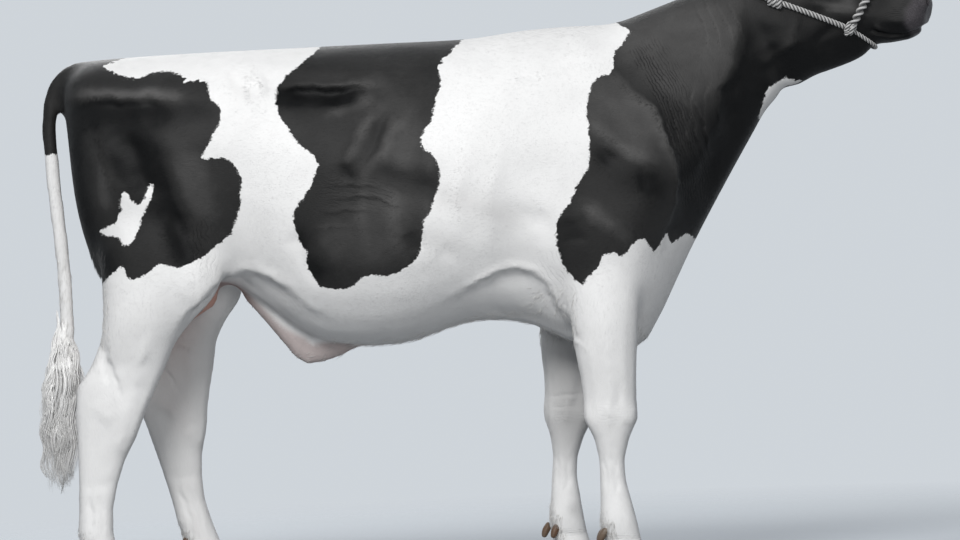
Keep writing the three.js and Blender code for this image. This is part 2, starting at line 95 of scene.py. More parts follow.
# ---------------------------------------------------------------- the coat's markings
# Outlines of the black patches on each side, as x and z in centimetres, and the white marks in them.
RIGHT_BLACK = {
    "rump": [
        (-100.5, 176), (-100.5, 154), (-107, 151.5), (-103, 149), (-97, 147), (-93, 148.7), (-88, 149.3),
        (-83.5, 147.6), (-83.8, 145.5), (-79, 146), (-76.4, 144.6), (-76.2, 140.3), (-74.2, 139.3),
        (-73, 136.5), (-73.5, 134), (-75, 131), (-77, 127.4), (-79.4, 123.5), (-73.3, 124), (-70.4, 122),
        (-69, 120), (-68, 117), (-69, 113), (-68.7, 110.7), (-70, 107.5), (-71.8, 103), (-74, 101),
        (-77.3, 98.5), (-80, 96.6), (-83, 94.8), (-87, 93.6), (-91, 95), (-93.3, 94.4), (-95, 92.7),
        (-97, 91.5), (-99.7, 90.8), (-101.6, 91.7), (-101.9, 93.6), (-102.6, 95.6), (-104.8, 93.2),
        (-107, 91.6), (-109, 90), (-132, 90), (-132, 176),
    ],
    "saddle": [
        (-45, 176), (-45, 155), (-47.7, 152), (-53, 147.7), (-55.2, 145.4), (-57.4, 143), (-58.1, 138),
        (-56.8, 134.6), (-54, 130.3), (-52.3, 127.2), (-50.4, 125), (-49, 124.8), (-46, 120.2),
        (-47.8, 118.3), (-48.5, 115.3), (-51.5, 111), (-53.6, 108.3), (-54.3, 105), (-52.6, 99.7),
        (-50.8, 96.2), (-51.3, 93), (-49.3, 89), (-47.7, 86.6), (-43.8, 85.9), (-40.7, 85.8), (-37.6, 86.8),
        (-36.4, 88.4), (-33, 89.4), (-29.4, 88.9), (-26.6, 89.4), (-21.4, 92.2), (-19.3, 95.5),
        (-18.3, 99.8), (-18, 103.4), (-15.8, 106.7), (-13.6, 112.7), (-12.9, 116.2), (-13.6, 120),
        (-15.2, 122.4), (-16.8, 123.4), (-18, 126.2), (-16.8, 129), (-14.8, 131), (-13, 138),
        (-11.6, 142.4), (-12.6, 148), (-10.6, 148.5), (-8.8, 151), (-4.7, 155.3), (-4.7, 176),
    ],
    "forehand": [
        (38.4, 176), (38.4, 158.5), (42.6, 155.3), (39.5, 151.3), (37.3, 149), (37.1, 145), (35.5, 142.7),
        (33.6, 143), (31.2, 141.4), (29.9, 138.6), (28.4, 131.8), (29.1, 128.4), (29, 121), (28.3, 116.3),
        (26.2, 113.9), (24.4, 110.6), (22.8, 106.8), (20.5, 104.7), (19, 101.7), (18.6, 98.3), (19, 94.4),
        (20.2, 90.5), (21.5, 87.4), (23.4, 85.9), (25.6, 84.1), (26.8, 86), (28.2, 87.1), (30.5, 90),
        (32, 92.8), (35.1, 92.6), (36.8, 91.5), (38.8, 93.6), (40.6, 95.5), (43.5, 96.8), (44.6, 94.5),
        (46.2, 91.9), (47.5, 94.4), (49.9, 98.2), (51.3, 94.5), (54.7, 97.2), (56.8, 97.2), (59, 95.5),
        (160, 95), (160, 176),
    ],
}
LEFT_BLACK = {
    "rump": [
        (-100.5, 176), (-100.5, 154), (-97, 150), (-90, 148), (-84, 143), (-82, 137), (-85, 131),
        (-92, 127), (-96, 121), (-94, 114), (-88, 109), (-87, 102), (-92, 96), (-99, 93), (-105, 95),
        (-110, 92), (-132, 92), (-132, 176),
    ],
    "saddle": [
        (-45, 176), (-45, 155), (-50, 148), (-60, 142), (-68, 134), (-70, 125), (-64, 117), (-60, 108),
        (-62, 99), (-55, 92), (-46, 90), (-40, 95), (-36, 103), (-28, 108), (-20, 106), (-12, 110),
        (-8, 119), (-14, 127), (-12, 136), (-4, 142), (-2, 149), (-4.7, 155.3), (-4.7, 176),
    ],
    "forehand": [
        (38.4, 176), (38.4, 158.5), (36, 152), (28, 147), (18, 144), (12, 137), (14, 128), (22, 122),
        (26, 113), (24, 104), (28, 97), (36, 95), (41, 100), (47, 97), (52, 101), (58, 97), (160, 97),
        (160, 176),
    ],
}
THIGH_STAR = [
    (-109.2, 104.9), (-104.6, 106.6), (-102.2, 110), (-102.4, 112.6), (-101.8, 114.8), (-100.6, 115.4),
    (-99.2, 112.9), (-98.2, 112), (-96.5, 111.6), (-95.5, 113.9), (-93.5, 117.6), (-92.9, 117.2),
    (-93.8, 112.8), (-95.4, 110), (-96.8, 106.8), (-98.7, 102.2), (-100.4, 100.3), (-102.4, 101),
    (-103.5, 103), (-108.6, 103.9),
]
THROAT_MARK = [
    (91.2, 139.6), (88, 139.6), (86.2, 140.4), (84, 139.6), (81, 137.8), (79.8, 135.4), (78.9, 132.6),
    (77.6, 129.4), (80, 128), (84, 132), (87, 136), (90, 138.6),
]

# ---------------------------------------------------------------- the body's relief
# Each form is a line over the side view, in centimetres, with the rise along it and its half-width in
# millimetres. Some also say how far the skin sinks on the line's right-hand side, and how wide.
RELIEF = [
    ([(-60, 143), (-51, 142.9), (-42.7, 142.7), (-31, 142.6)], 4, 14, 15, 40),  # edge of the loin
    ([(-31.6, 142.4), (-32.4, 139), (-38.4, 136), (-47, 135)], 6, 17),
    ([(-67, 142), (-60, 144)], 10, 42),  # hook bone
    ([(-116, 142.6), (-103.6, 142.2), (-97.3, 141.5), (-84, 141.2)], 8, 26, 17, 62),  # pin to hook
    ([(-103, 132), (-96.8, 124.4), (-94, 118), (-91, 110)], -14, 36),
    ([(-88, 111), (-85.8, 103.6), (-84.4, 94)], -8, 26),
    ([(-109, 138), (-106.4, 127.4), (-105, 119.5), (-101.6, 113)], 8, 27),
    ([(-89, 132), (-82.5, 118), (-78, 104)], 6, 50),
    ([(-40.6, 118), (-35.6, 127), (-30, 136)], 6, 17),  # folds of the flank
    ([(-30.6, 119), (-26.1, 126.8), (-21.6, 134)], 5, 18),
    ([(-35, 119), (-30.6, 127), (-26, 136)], -5, 15),
    ([(-39.4, 121), (-38.7, 116)], -8, 24),
    ([(-30, 118), (-21.3, 114.7), (-12, 111.6)], -9, 30),
    ([(-44, 114.6), (-38, 114.9), (-29, 113.2)], 1.6, 9, 2, 12),
    ([(-43, 111), (-36, 111.4), (-30, 110.4), (-25, 108.4)], 2.2, 8, 3.4, 12),
    ([(-45, 107), (-39, 107.9), (-33, 106.6)], 1.6, 9, 2.4, 12),
    ([(-51, 102), (-44, 103.6), (-36, 102.6)], 1.6, 12, 1.6, 15),
    ([(-54.6, 104), (-51.5, 95), (-45, 87)], -9, 38),
    ([(-22.4, 101), (-20, 95)], -5, 30),
    ([(49, 95), (52.1, 105.4), (53.8, 111.3), (53.2, 115.7), (51.4, 124), (47.8, 132), (39, 141.6)],
     7, 26, 10, 44),  # front of the shoulder
    ([(29, 131), (36.2, 123.6), (40.7, 119), (51, 115.6)], 8, 24),  # spine of the blade
    ([(35, 121.4), (32.6, 117.6)], -6, 36),
    ([(41.6, 112), (50, 112.4)], -7, 36),
    ([(27, 107), (36, 97.6)], 8, 22),
    ([(22, 103), (23, 95)], -7, 36),
    ([(50, 101), (58, 113), (61.5, 119.2), (65.4, 127), (66.6, 137), (71.1, 144), (74, 162)],
     2, 24, 15, 120),  # the neck's side turns under
    ([(-90, 72), (-84.2, 82.3), (-79.4, 86.6), (-74.5, 90), (-70.4, 91.5), (-66.3, 91.9), (-61.6, 90),
      (-56.4, 86), (-50, 81)], 7, 20, 15, 66),  # flank fold
    ([(-89, 88.5), (-83, 85.5), (-79, 92)], 4, 24),
    ([(-12, 82), (-2.5, 86.7), (2.6, 89), (8.2, 90), (11.8, 88.3), (15.1, 85), (18, 81), (22, 73)],
     6, 17, 12, 56),  # behind the elbow
    ([(-11, 112), (3.3, 107.3), (8.8, 105), (14.3, 102), (18.4, 94)], -9, 38),
    ([(-14.5, 95.4), (-9, 92.4)], -4, 24),
    ([(25, 67), (10.6, 73.5), (-3, 77)], 3, 8, 6, 34),
    ([(9.6, 143.2), (17, 143.1)], -4, 11),
    ([(95, 160.8), (104, 159), (112, 158)], 6, 14, 3, 24),  # crest of the face
    ([(97, 165.2), (109, 164), (121, 162.8)], -4, 12),
    ([(81, 143.6), (88, 150), (91, 158)], 4, 17, 4, 26),  # cheek
    ([(91, 148), (100, 153.5), (107.4, 155.4)], -4, 16),
]
RELIEF += [([(x, 131 - 20 * abs(x / 100 + 0.1)), (x - 5, 112), (x - 5, 94)], 2.6, 21)
           for x in (-30, -21, -12, -3, 6)]  # ribs
RELIEF += [([(x - 0.6, 136.5), (x + 2.6, 127.5), (x + 5, 118)], 1.4, 7, 3, 9)
           for x in (49.4, 51.6, 53.9, 56.4, 59)]  # folds before the shoulder
RELIEF += [([(x - 0.4, 185.6 - 0.3 * x), (x + 5, 159.4 - 0.2 * x)], 1, 7, 1.8, 9)
           for x in (60, 63.5, 67, 70.5)]  # folds of the neck
RELIEF += [([(x, 140), (x - 1.6, 134), (x - 2.6, 127)], 1.2, 8, 2.2, 10) for x in (60, 64, 68)]
# The same on the legs as they stand upright, with the side that has them: -1 right, 1 left, 0 both.
LEG_RELIEF = [
    (0, [(-110, 76), (-109.2, 68), (-108.4, 59)], -8, 13),
    (0, [(-108.6, 71), (-106.9, 63.4), (-104.4, 56)], -5, 9),
    (0, [(-95, 79), (-98.5, 69), (-102, 59)], 5, 17),
    (0, [(-113, 57), (-107, 51)], 5, 25),
    (0, [(-106.4, 48.6), (-104.2, 41)], 4, 20),
    (0, [(-119, 34.6), (-113, 33.6), (-106.6, 34.2)], -1.8, 16),
    (0, [(-114.4, 33), (-115, 24), (-115.4, 16)], -3.6, 8),
    (0, [(-111, 33), (-112, 18)], -2.2, 7),
    (0, [(38.6, 50.6), (38, 43.6)], 4, 18),
    (0, [(31.8, 51), (31, 43.6)], 3.4, 13),
    (0, [(34.6, 59), (34.2, 46)], -3, 13),
    (0, [(32.2, 38), (32.8, 23)], -3.6, 8),
    (0, [(29.5, 38), (29.6, 25)], -2, 6),
    (1, [(26, 52.8), (30, 52.2), (36, 52.6)], -2, 5.5),
    (1, [(26, 49.4), (30, 48.8), (36, 49.2)], -1.4, 5.5),
    (0, [(29.6, 12.8), (34.5, 12.2), (39, 13)], -2.4, 8),
    (0, [(-116.6, 12.8), (-111.5, 12.2), (-107.4, 13)], -2.4, 8),
]

# Painted shade and sheen: lines along which the black coat is darker or lighter, in centimetres,
# with the half-width and amount.
SHADES = [
    ([(-104, 133), (-102, 128), (-98, 124)], 9, -0.62),  # behind the hook bone
    ([(-115, 138), (-100, 137), (-84, 136.5), (-76, 136.5)], 3.6, -0.26),
    ([(-96, 126), (-91.5, 117), (-88, 105), (-86, 97)], 4.5, -0.42),
    ([(-111, 131), (-108, 120), (-107, 113)], 2.6, 0.30),
    ([(-116, 133), (-115, 120), (-112, 105), (-106, 93)], 3.4, -0.40),
    ([(-112, 143.6), (-98, 142.4), (-86, 141.6)], 2.4, 0.32),
    ([(-84, 120), (-80, 108)], 8, 0.10),
    ([(-58, 140.2), (-38, 139.2)], 2.3, -0.72),  # under the loin's edge
    ([(-30, 141), (-22, 128), (-26, 112)], 9, 0.20),
    ([(-44, 100), (-34, 96), (-26, 100)], 8, 0.22),
    ([(-50, 122), (-47, 108)], 5, -0.15),
    ([(44, 154), (56, 156), (70, 160)], 9, 0.40),  # side of the neck
    ([(54, 140), (62, 140), (68, 146)], 8, 0.30),
    ([(31, 138), (38, 133), (44, 124)], 7, 0.34),
    ([(30, 128), (27, 119)], 4, 0.10),
    ([(33, 121), (36, 117)], 6, -0.12),
    ([(43, 112), (50, 111)], 6, -0.22),
    ([(30, 104), (38, 98)], 5, 0.12),
    ([(66, 128), (61, 115), (56, 103)], 5, -0.45),
    ([(75, 148), (70, 136)], 5, -0.20),
    ([(80, 146), (86, 150)], 3.6, 0.24),  # cheek
    ([(88, 151.5), (93, 153.5)], 3, 0.20),
    ([(98, 158.4), (104.4, 159.4), (104.2, 165)], 2.2, 0.34),
    ([(106, 147), (114, 152), (123, 151)], 4.5, -0.30),
    ([(72, 160), (84, 154), (94, 150)], 6, -0.16),
    ([(112, 152.5), (113, 156)], 2, 0.20),
]
# Greyish places of painted shade in the white hair, in the same way.
GREYS = [
    ([(-12, 110), (-4, 108), (6, 103.5)], 3.4, 0.42),
    ([(-20, 100), (-8, 97)], 3, 0.20),
    ([(-66, 141), (-70, 144)], 1.6, 0.20),
    ([(-114, 60), (-108, 54), (-104, 46)], 3, 0.14),
    ([(-100, 78), (-92, 84)], 4, 0.12),
]
# Fine wrinkles run beside these lines: on which side (0 both), how far out in centimetres, the spacing in
# millimetres and the strength. The second table is for the legs as they stand upright.
WRINKLES = [
    ([(54.6, 102), (54.2, 112), (52, 124), (48.4, 135), (43, 146), (40, 153)], 1, 13, 8.5, 1),
    ([(86, 139), (90, 148), (92, 158)], 0, 3, 7, 0.22),
    ([(111.5, 157.5), (117, 158.5), (122, 158)], 0, 3.4, 6, 0.4),
    ([(97, 168.6), (101, 170), (106, 169)], 0, 1.6, 5, 0.25),
    ([(-82, 108), (-79, 98), (-80, 90)], 0, 5, 13, 0.55),
    ([(14, 94), (20, 84), (22, 74)], 0, 6, 12, 0.5),
    ([(-47, 113), (-36, 113), (-24, 109)], 0, 6, 11, 0.35),
]
LEG_WRINKLES = [
    ([(27, 48), (34, 47.6), (41, 48)], 0, 4.5, 9, 0.28),
    ([(29, 13), (40, 13)], 0, 2, 7, 0.6),
    ([(-117, 13), (-106, 13)], 0, 2, 7, 0.6),
    ([(-110, 60), (-104, 52)], 0, 4, 12, 0.2),
]


# ---------------------------------------------------------------- working with arrays of points
def ramp(value, low, high):
    """0 at low and 1 at high, eased at both ends."""
    share = np.clip((value - low) / (high - low), 0.0, 1.0)
    return share * share * (3.0 - 2.0 * share)


def between(value, low, high):
    return (value > low) & (value < high)


def unit(vectors):
    return vectors / np.maximum(np.linalg.norm(vectors, axis=-1, keepdims=True), 1e-12)


def smoothed(line):
    """A line with each inner point moved halfway to the middle of its neighbours."""
    line = line.copy()
    line[1:-1] = (line[:-2] + 2 * line[1:-1] + line[2:]) / 4
    return line


def bell(distance, width):
    """1 at no distance, and fading to nothing a few widths away."""
    return np.exp(-(distance / width) ** 2)


def metres(line):
    """A line or outline of the tables, which are in centimetres."""
    return np.array(line) / 100


def line_reach(points, line):
    """How far points of the side view lie from a line, how far to its right, and how far along it."""
    least = np.full(len(points), np.inf)
    rightward, along = np.zeros(len(points)), np.zeros(len(points))
    lengths = np.linalg.norm(np.diff(line, axis=0), axis=1)
    for start, end, length, before in zip(line[:-1], line[1:], lengths, np.cumsum(lengths) - lengths):
        stretch = np.subtract(end, start)
        away = points - start
        share = np.clip(away @ stretch / length ** 2, 0.0, 1.0)
        distance = np.linalg.norm(away - share[:, None] * stretch, axis=1)
        closer = distance < least
        across = away @ np.array([stretch[1], -stretch[0]]) / length
        least = np.where(closer, distance, least)
        rightward = np.where(closer, across, rightward)
        along = np.where(closer, (before + share * length) / lengths.sum(), along)
    return least, rightward, along


def line_distance(points, line):
    return line_reach(points, line)[0]


def nearest(points, centres):
    """How far each point is from the nearest centre."""
    return np.min([np.linalg.norm(points - centre, axis=1) for centre in centres], axis=0)


def depth_inside(points, outline):
    """How far points of the side view lie inside a closed outline; minus outside."""
    corners = metres(outline)
    x, z = points.T
    inside = np.zeros(len(points), bool)
    for (ax, az), (bx, bz) in zip(corners, np.roll(corners, -1, axis=0)):
        if az != bz:
            inside ^= ((az > z) != (bz > z)) & (x < ax + (z - az) * (bx - ax) / (bz - az))
    distance = line_distance(points, np.vstack([corners, corners[:1]]))
    return np.where(inside, distance, -distance)


def blackness(co):
    """How far each point lies inside the black of the coat, in metres; minus in the white."""
    flat = co[:, [0, 2]]
    right, left = (np.max([depth_inside(flat, outline) for outline in patches.values()], axis=0)
                   for patches in (RIGHT_BLACK, LEFT_BLACK))
    right = np.minimum(right, -depth_inside(flat, THIGH_STAR))
    left_share = ramp(co[:, 1], -0.04, 0.04)
    black = right * (1.0 - left_share) + left * left_share
    forehead = np.array([POLL.x + 0.115, 0.0, POLL.z - 0.005])
    star = 0.026 - np.linalg.norm((co - forehead) * (0.6, 1.0, 0.25), axis=1)
    throat = np.minimum(depth_inside(flat, THROAT_MARK), -co[:, 1] - 0.016)
    return np.minimum.reduce([black, -throat, -star])


def in_ear(co, start=0.128, back=0.68):
    """Which points belong to an ear, from a distance off the middle on."""
    return (np.abs(co[:, 1]) > start) & (co[:, 2] > 1.60) & (co[:, 0] > back)


def mesh_data(obj):
    """An object's points, edges, normals."""
    mesh = obj.data
    co = np.empty(len(mesh.vertices) * 3)
    mesh.vertices.foreach_get("co", co)
    edges = np.empty(len(mesh.edges) * 2, int)
    mesh.edges.foreach_get("vertices", edges)
    normals = np.empty(len(mesh.vertices) * 3)
    mesh.vertex_normals.foreach_get("vector", normals)
    return co.reshape(-1, 3), edges.reshape(-1, 2), normals.reshape(-1, 3)


def points_of(obj):
    return mesh_data(obj)[0]


def move_points(obj, co):
    obj.data.vertices.foreach_set("co", co.ravel())
    obj.data.update()


def neighbour_mean(values, edges, counts):
    a, b = edges.T
    return np.stack([
        np.bincount(a, column[b], len(values)) + np.bincount(b, column[a], len(values))
        for column in values.T
    ], axis=1) / counts[:, None]


def soften(obj, amount, passes):
    """Smooths a mesh by a share for each point, and gives back the fullness that this took."""
    co, edges, normals = mesh_data(obj)
    counts = np.maximum(np.bincount(edges.ravel(), minlength=len(co)), 1)
    smooth = co.copy()
    for _ in range(passes):
        smooth += amount[:, None] * 0.5 * (neighbour_mean(smooth, edges, counts) - smooth)
    lost = ((co - smooth) * normals).sum(1)[:, None]
    for _ in range(passes):
        lost += amount[:, None] * 0.5 * (neighbour_mean(lost, edges, counts) - lost)
    move_points(obj, smooth + normals * lost)


def set_values(mesh, name, values):
    attribute = mesh.attributes.get(name) or mesh.attributes.new(name, "FLOAT", "POINT")
    attribute.data.foreach_set("value", np.asarray(values, np.float32))


def values_of(mesh, name):
    values = np.empty(len(mesh.vertices))
    mesh.attributes[name].data.foreach_get("value", values)
    return values


def build_mesh(name, co, faces, material, values=None, uv=None, normals=None):
    """A smooth-shaded object from arrays of points and triangles, lit by its own or given normals."""
    mesh = bpy.data.meshes.new(name)
    mesh.vertices.add(len(co))
    mesh.vertices.foreach_set("co", np.asarray(co, np.float32).ravel())
    mesh.loops.add(faces.size)
    mesh.loops.foreach_set("vertex_index", faces.astype(np.int32).ravel())
    mesh.polygons.add(len(faces))
    mesh.polygons.foreach_set("loop_start", np.arange(0, faces.size, faces.shape[1], dtype=np.int32))
    mesh.update(calc_edges=True)
    mesh.shade_smooth()
    for key, value in (values or {}).items():
        set_values(mesh, key, value)
    if uv is not None:
        layer = mesh.uv_layers.new(name="OFBake")
        layer.data.foreach_set("uv", np.asarray(uv, np.float32)[faces.ravel()].ravel())
    if normals is not None:
        mesh.normals_split_custom_set_from_vertices(normals.tolist())
    mesh.materials.append(material)
    obj = bpy.data.objects.new(name, mesh)
    bpy.context.scene.collection.objects.link(obj)
    return obj


def outward(co, faces):
    """The faces of closed pieces, turned round together if their first piece is inside out."""
    a, b, c = (co[faces[:, i]] for i in range(3))
    if (a * np.cross(b, c)).sum() < 0:
        return faces[:, ::-1]
    return faces


def deselect():
    for obj in bpy.context.view_layer.objects:
        obj.select_set(False)


def make_active(obj):
    deselect()
    obj.select_set(True)
    bpy.context.view_layer.objects.active = obj


def in_edit_mode(obj, operator, **settings):
    """Runs an operator on the whole of an object's mesh."""
    make_active(obj)
    bpy.ops.object.mode_set(mode="EDIT")
    bpy.ops.mesh.select_all(action="SELECT")
    operator(**settings)
    bpy.ops.object.mode_set(mode="OBJECT")


def copied_node(node, swell=0.0):
    """A node's own copy, its loose triangles joined, and grown a little all round."""
    copy = bpy.data.objects.new(node + "_copy", frame["nodes"][node].data.copy())
    bpy.context.scene.collection.objects.link(copy)
    work = bmesh.new()
    work.from_mesh(copy.data)
    bmesh.ops.remove_doubles(work, verts=work.verts, dist=1e-5)
    work.normal_update()
    for vert in work.verts:
        vert.co += vert.normal * swell
    work.to_mesh(copy.data)
    work.free()
    copy.data.materials.clear()
    return copy


def joined(objects, name):
    deselect()
    for obj in objects:
        obj.select_set(True)
    bpy.context.view_layer.objects.active = objects[0]
    bpy.ops.object.join()
    objects[0].name = name
    objects[0].data.name = name
    return objects[0]


def apply_modifier(obj, kind, **settings):
    make_active(obj)
    modifier = obj.modifiers.new(kind.lower(), kind)
    for key, value in settings.items():
        setattr(modifier, key, value)
    bpy.ops.object.modifier_apply(modifier=modifier.name)


def refine(obj, chosen):
    """Splits each face whose corners are all chosen into four."""
    picked = chosen(mesh_data(obj)[0])
    work = bmesh.new()
    work.from_mesh(obj.data)
    edges = [e for e in work.edges if picked[e.verts[0].index] and picked[e.verts[1].index]]
    bmesh.ops.subdivide_edges(work, edges=edges, cuts=1, use_grid_fill=True)
    work.to_mesh(obj.data)
    work.free()
    obj.data.update()


# ---------------------------------------------------------------- the skin's own forms
def upright(co):
    """Points of the leaning left legs, moved back over their upright pose."""
    moved = co.copy()
    low = co[:, 2] < 0.72
    for leg, (lean, pivot) in LEFT_LEAN.items():
        fore = co[:, 0] > -0.3
        own = low & (co[:, 1] > 0.02) & (fore if leg.startswith("fore") else ~fore)
        moved[own, 0] -= lean * (pivot - np.maximum(co[own, 2], FOOT_TOP))
    return moved


def wavered(flat):
    """Points of the side view moved a few millimetres, so that no fold runs dead straight."""
    x, z = flat.T
    return flat + np.stack([0.0040 * np.sin(47 * z + 11 * x) + 0.0018 * np.sin(131 * z - 40 * x),
                            0.0032 * np.sin(43 * x - 17 * z) + 0.0016 * np.sin(119 * x + 60 * z)], axis=1)


def relief(co, normals):
    """The rise of the body's drawn forms at each point."""
    flat = wavered(co[:, [0, 2]])
    rise = np.zeros(len(co))
    for line, height, width, *sinking in RELIEF:
        near = line_box(flat, metres(line), 2.5 * max([width, *sinking[1:]]) / 1000)
        distance, right, along = line_reach(flat[near], metres(line))
        fade = 0.25 + 0.75 * ramp(along, 0.0, 0.3) * ramp(-along, -1.0, -0.7)
        rise[near] += fade * height / 1000 * np.exp(-(distance / width * 1000) ** 2)
        if sinking:
            sink, reach = sinking
            edge = ramp(right, -0.00012 * reach, 0.00035 * reach)
            rise[near] -= fade * sink / 1000 * edge * np.exp(-(distance / reach * 1000) ** 2)
    x, y, z = co.T
    sideways = ramp(np.abs(normals[:, 1]), 0.10, 0.40)
    rise *= sideways * ramp(np.abs(y), 0.05, 0.11)
    rise *= 1.0 + 0.3 * np.sin(26.0 * x + 31.0 * z) * np.sin(37.0 * x - 19.0 * z)
    legs = wavered(upright(co)[:, [0, 2]])
    low = (1.0 - ramp(z, 0.70, 0.78)) * sideways
    for side, line, height, width in LEG_RELIEF:
        near = line_box(legs, metres(line), 2.5 * width / 1000) & (y * side > -1e-6)
        distance, _, along = line_reach(legs[near], metres(line))
        fade = 0.2 + 0.8 * ramp(along, 0.0, 0.35) * ramp(-along, -1.0, -0.65)
        rise[near] += fade * low[near] * height / 1000 * np.exp(-(distance / width * 1000) ** 2)
    return rise


def shade_of(co, table):
    """How much painted shade darkens, or painted sheen lightens, the hair at each point."""
    flat = co[:, [0, 2]]
    shade = np.zeros(len(co))
    for line, width, amount in table:
        near = line_box(flat, metres(line), 0.025 * width)
        shade[near] += amount * bell(line_distance(flat[near], metres(line)), 0.01 * width)
    return shade


def wrinkles_of(co):
    """A count that rises by one from wrinkle to wrinkle, and how strong the wrinkles are."""
    count, strength = np.zeros(len(co)), np.zeros(len(co))
    for flat, table, own in ((co[:, [0, 2]], WRINKLES, co[:, 2] > LEG_WRINKLE_TOP),
                             (upright(co)[:, [0, 2]], LEG_WRINKLES, co[:, 2] <= LEG_WRINKLE_TOP)):
        for line, side, reach, spacing, amount in table:
            near = np.flatnonzero(line_box(flat, metres(line), 0.01 * reach) & own)
            distance, right, along = line_reach(flat[near], metres(line))
            force = amount * ramp(-distance, -0.01 * reach, -0.004 * reach) * ramp(along, 0.0, 0.15)
            force *= ramp(-along, -1.0, -0.85) * (ramp(right * side, -0.004, 0.004) if side else 1.0)
            stronger = force > strength[near]
            strength[near[stronger]] = force[stronger]
            count[near[stronger]] = right[stronger] / (0.001 * spacing)
    return count, strength


def line_box(flat, line, reach):
    """The points of the side view near enough to a line to be moved by it."""
    return ((flat > line.min(0) - reach) & (flat < line.max(0) + reach)).all(1)


def creased(co):
    """Which points lie by a crease too narrow for the trunk's even mesh."""
    picked = np.zeros(len(co), bool)
    flat, legs = co[:, [0, 2]], upright(co)[:, [0, 2]]
    narrow = [(flat, line, min([width, *sinking[1:]])) for line, _, width, *sinking in RELIEF]
    narrow += [(legs, line, width) for _, line, _, width in LEG_RELIEF]
    for points, line, width in narrow:
        if width < NARROW_CREASE:
            near = line_box(points, metres(line), 0.02)
            picked[near] |= line_distance(points[near], metres(line)) < 0.016
    return picked & (np.abs(co[:, 1]) > 0.05)


def on_face(along, drop, across):
    """A point by its distance along the face from the poll, below the brow line and from the middle."""
    return np.array([POLL.x + along * FACE_COS + drop * FACE_SIN, across,
                     POLL.z + along * FACE_SIN - drop * FACE_COS])


def down_face(away):
    """How far places given from the poll, or from a point of the face, lie along it and below it."""
    return (away[:, 0] * FACE_COS + away[:, 2] * FACE_SIN, away[:, 0] * FACE_SIN - away[:, 2] * FACE_COS)


# Swellings and hollows of the head: how far along, below and across the face, the reach in those three
# directions, and the rise.
HEAD_FORMS = [
    (0.186, 0.034, 0.105, (0.042, 0.020, 0.05), 0.009),  # brow
    (0.205, 0.062, 0.100, (0.055, 0.048, 0.05), 0.009),  # the eye socket's rim
    (0.205, 0.118, 0.100, (0.060, 0.018, 0.05), -0.004),
    (0.270, 0.075, 0.085, (0.024, 0.028, 0.04), -0.003),  # before the eye
    (0.105, 0.060, 0.110, (0.040, 0.026, 0.05), -0.006),  # temple
    (0.150, 0.205, 0.100, (0.070, 0.075, 0.07), 0.007),  # cheek muscle
    (0.290, 0.115, 0.085, (0.070, 0.014, 0.04), 0.005),  # crest of the face
    (0.440, 0.060, 0.060, (0.045, 0.030, 0.03), -0.007),  # behind the nostril
    (0.515, 0.110, 0.070, (0.042, 0.030, 0.03), 0.006),  # upper lip
    (0.548, 0.030, 0.020, (0.022, 0.020, 0.02), -0.004),  # between the nostrils
    (0.470, 0.128, 0.070, (0.030, 0.020, 0.03), 0.005),
    (0.560, 0.085, 0.000, (0.050, 0.045, 0.006), -0.0035),  # middle groove of the upper lip
    (0.430, 0.215, 0.000, (0.034, 0.030, 0.09), -0.014),  # behind the chin
    (0.500, 0.200, 0.000, (0.040, 0.020, 0.06), -0.004),
    (0.150, 0.330, 0.000, (0.050, 0.040, 0.07), 0.008),  # throat
    (0.195, 0.320, 0.000, (0.045, 0.030, 0.07), 0.009),
    (0.030, 0.000, 0.000, (0.040, 0.022, 0.05), 0.008),  # poll
]


def head_forms(co):
    """The rise of the head's forms at each point."""
    folded = co.copy()
    folded[:, 1] = np.abs(folded[:, 1])
    rise = np.zeros(len(co))
    for along, drop, across, reach, height in HEAD_FORMS:
        away = folded - on_face(along, drop, across)
        own = np.stack([*down_face(away), away[:, 1]], axis=1)
        rise += height * np.exp(-((own / reach) ** 2).sum(1))
    return rise


# The line between the lips, by the distance along the face and below the brow line.
LIPS = [(0.385, 0.150), (0.415, 0.161), (0.450, 0.164), (0.491, 0.161), (0.528, 0.144), (0.556, 0.124),
        (0.600, 0.116)]


def lip_line():
    return [on_face(along, drop, 0.0)[[0, 2]] for along, drop in LIPS]


def mouth_line(co, normals):
    """The rise of the lips and of the line between them, which fades at its corner."""
    away, _, along = line_reach(co[:, [0, 2]], lip_line())
    own = ramp(along, 0.0, 0.12) * ramp(np.hypot(normals[:, 0], normals[:, 1]), 0.2, 0.5)
    return own * (-0.0075 * bell(away, 0.0034) + 0.0022 * bell(away - 0.010, 0.006))


def eye_frame(side):
    """The middle of an eye, and its ways out, forwards and up."""
    centre = np.array(middle_of("eye_" + side)) - (0.0, 0.0045 * SIDES[side], 0.0)
    axis = unit(np.array([0.28, SIDES[side], 0.04]))
    front = np.array([FACE_COS, 0.0, FACE_SIN - 0.10])
    front = unit(front - axis * (front @ axis))
    up = np.cross(axis, front) * -SIDES[side]
    return centre, axis, front, up * np.sign(up[2])


def eye_centres():
    return [eye_frame(side)[0] for side in SIDES]


EYE_OPENING = (0.0178, 0.0128, 0.0096)  # half its length, and its height above and below the axis


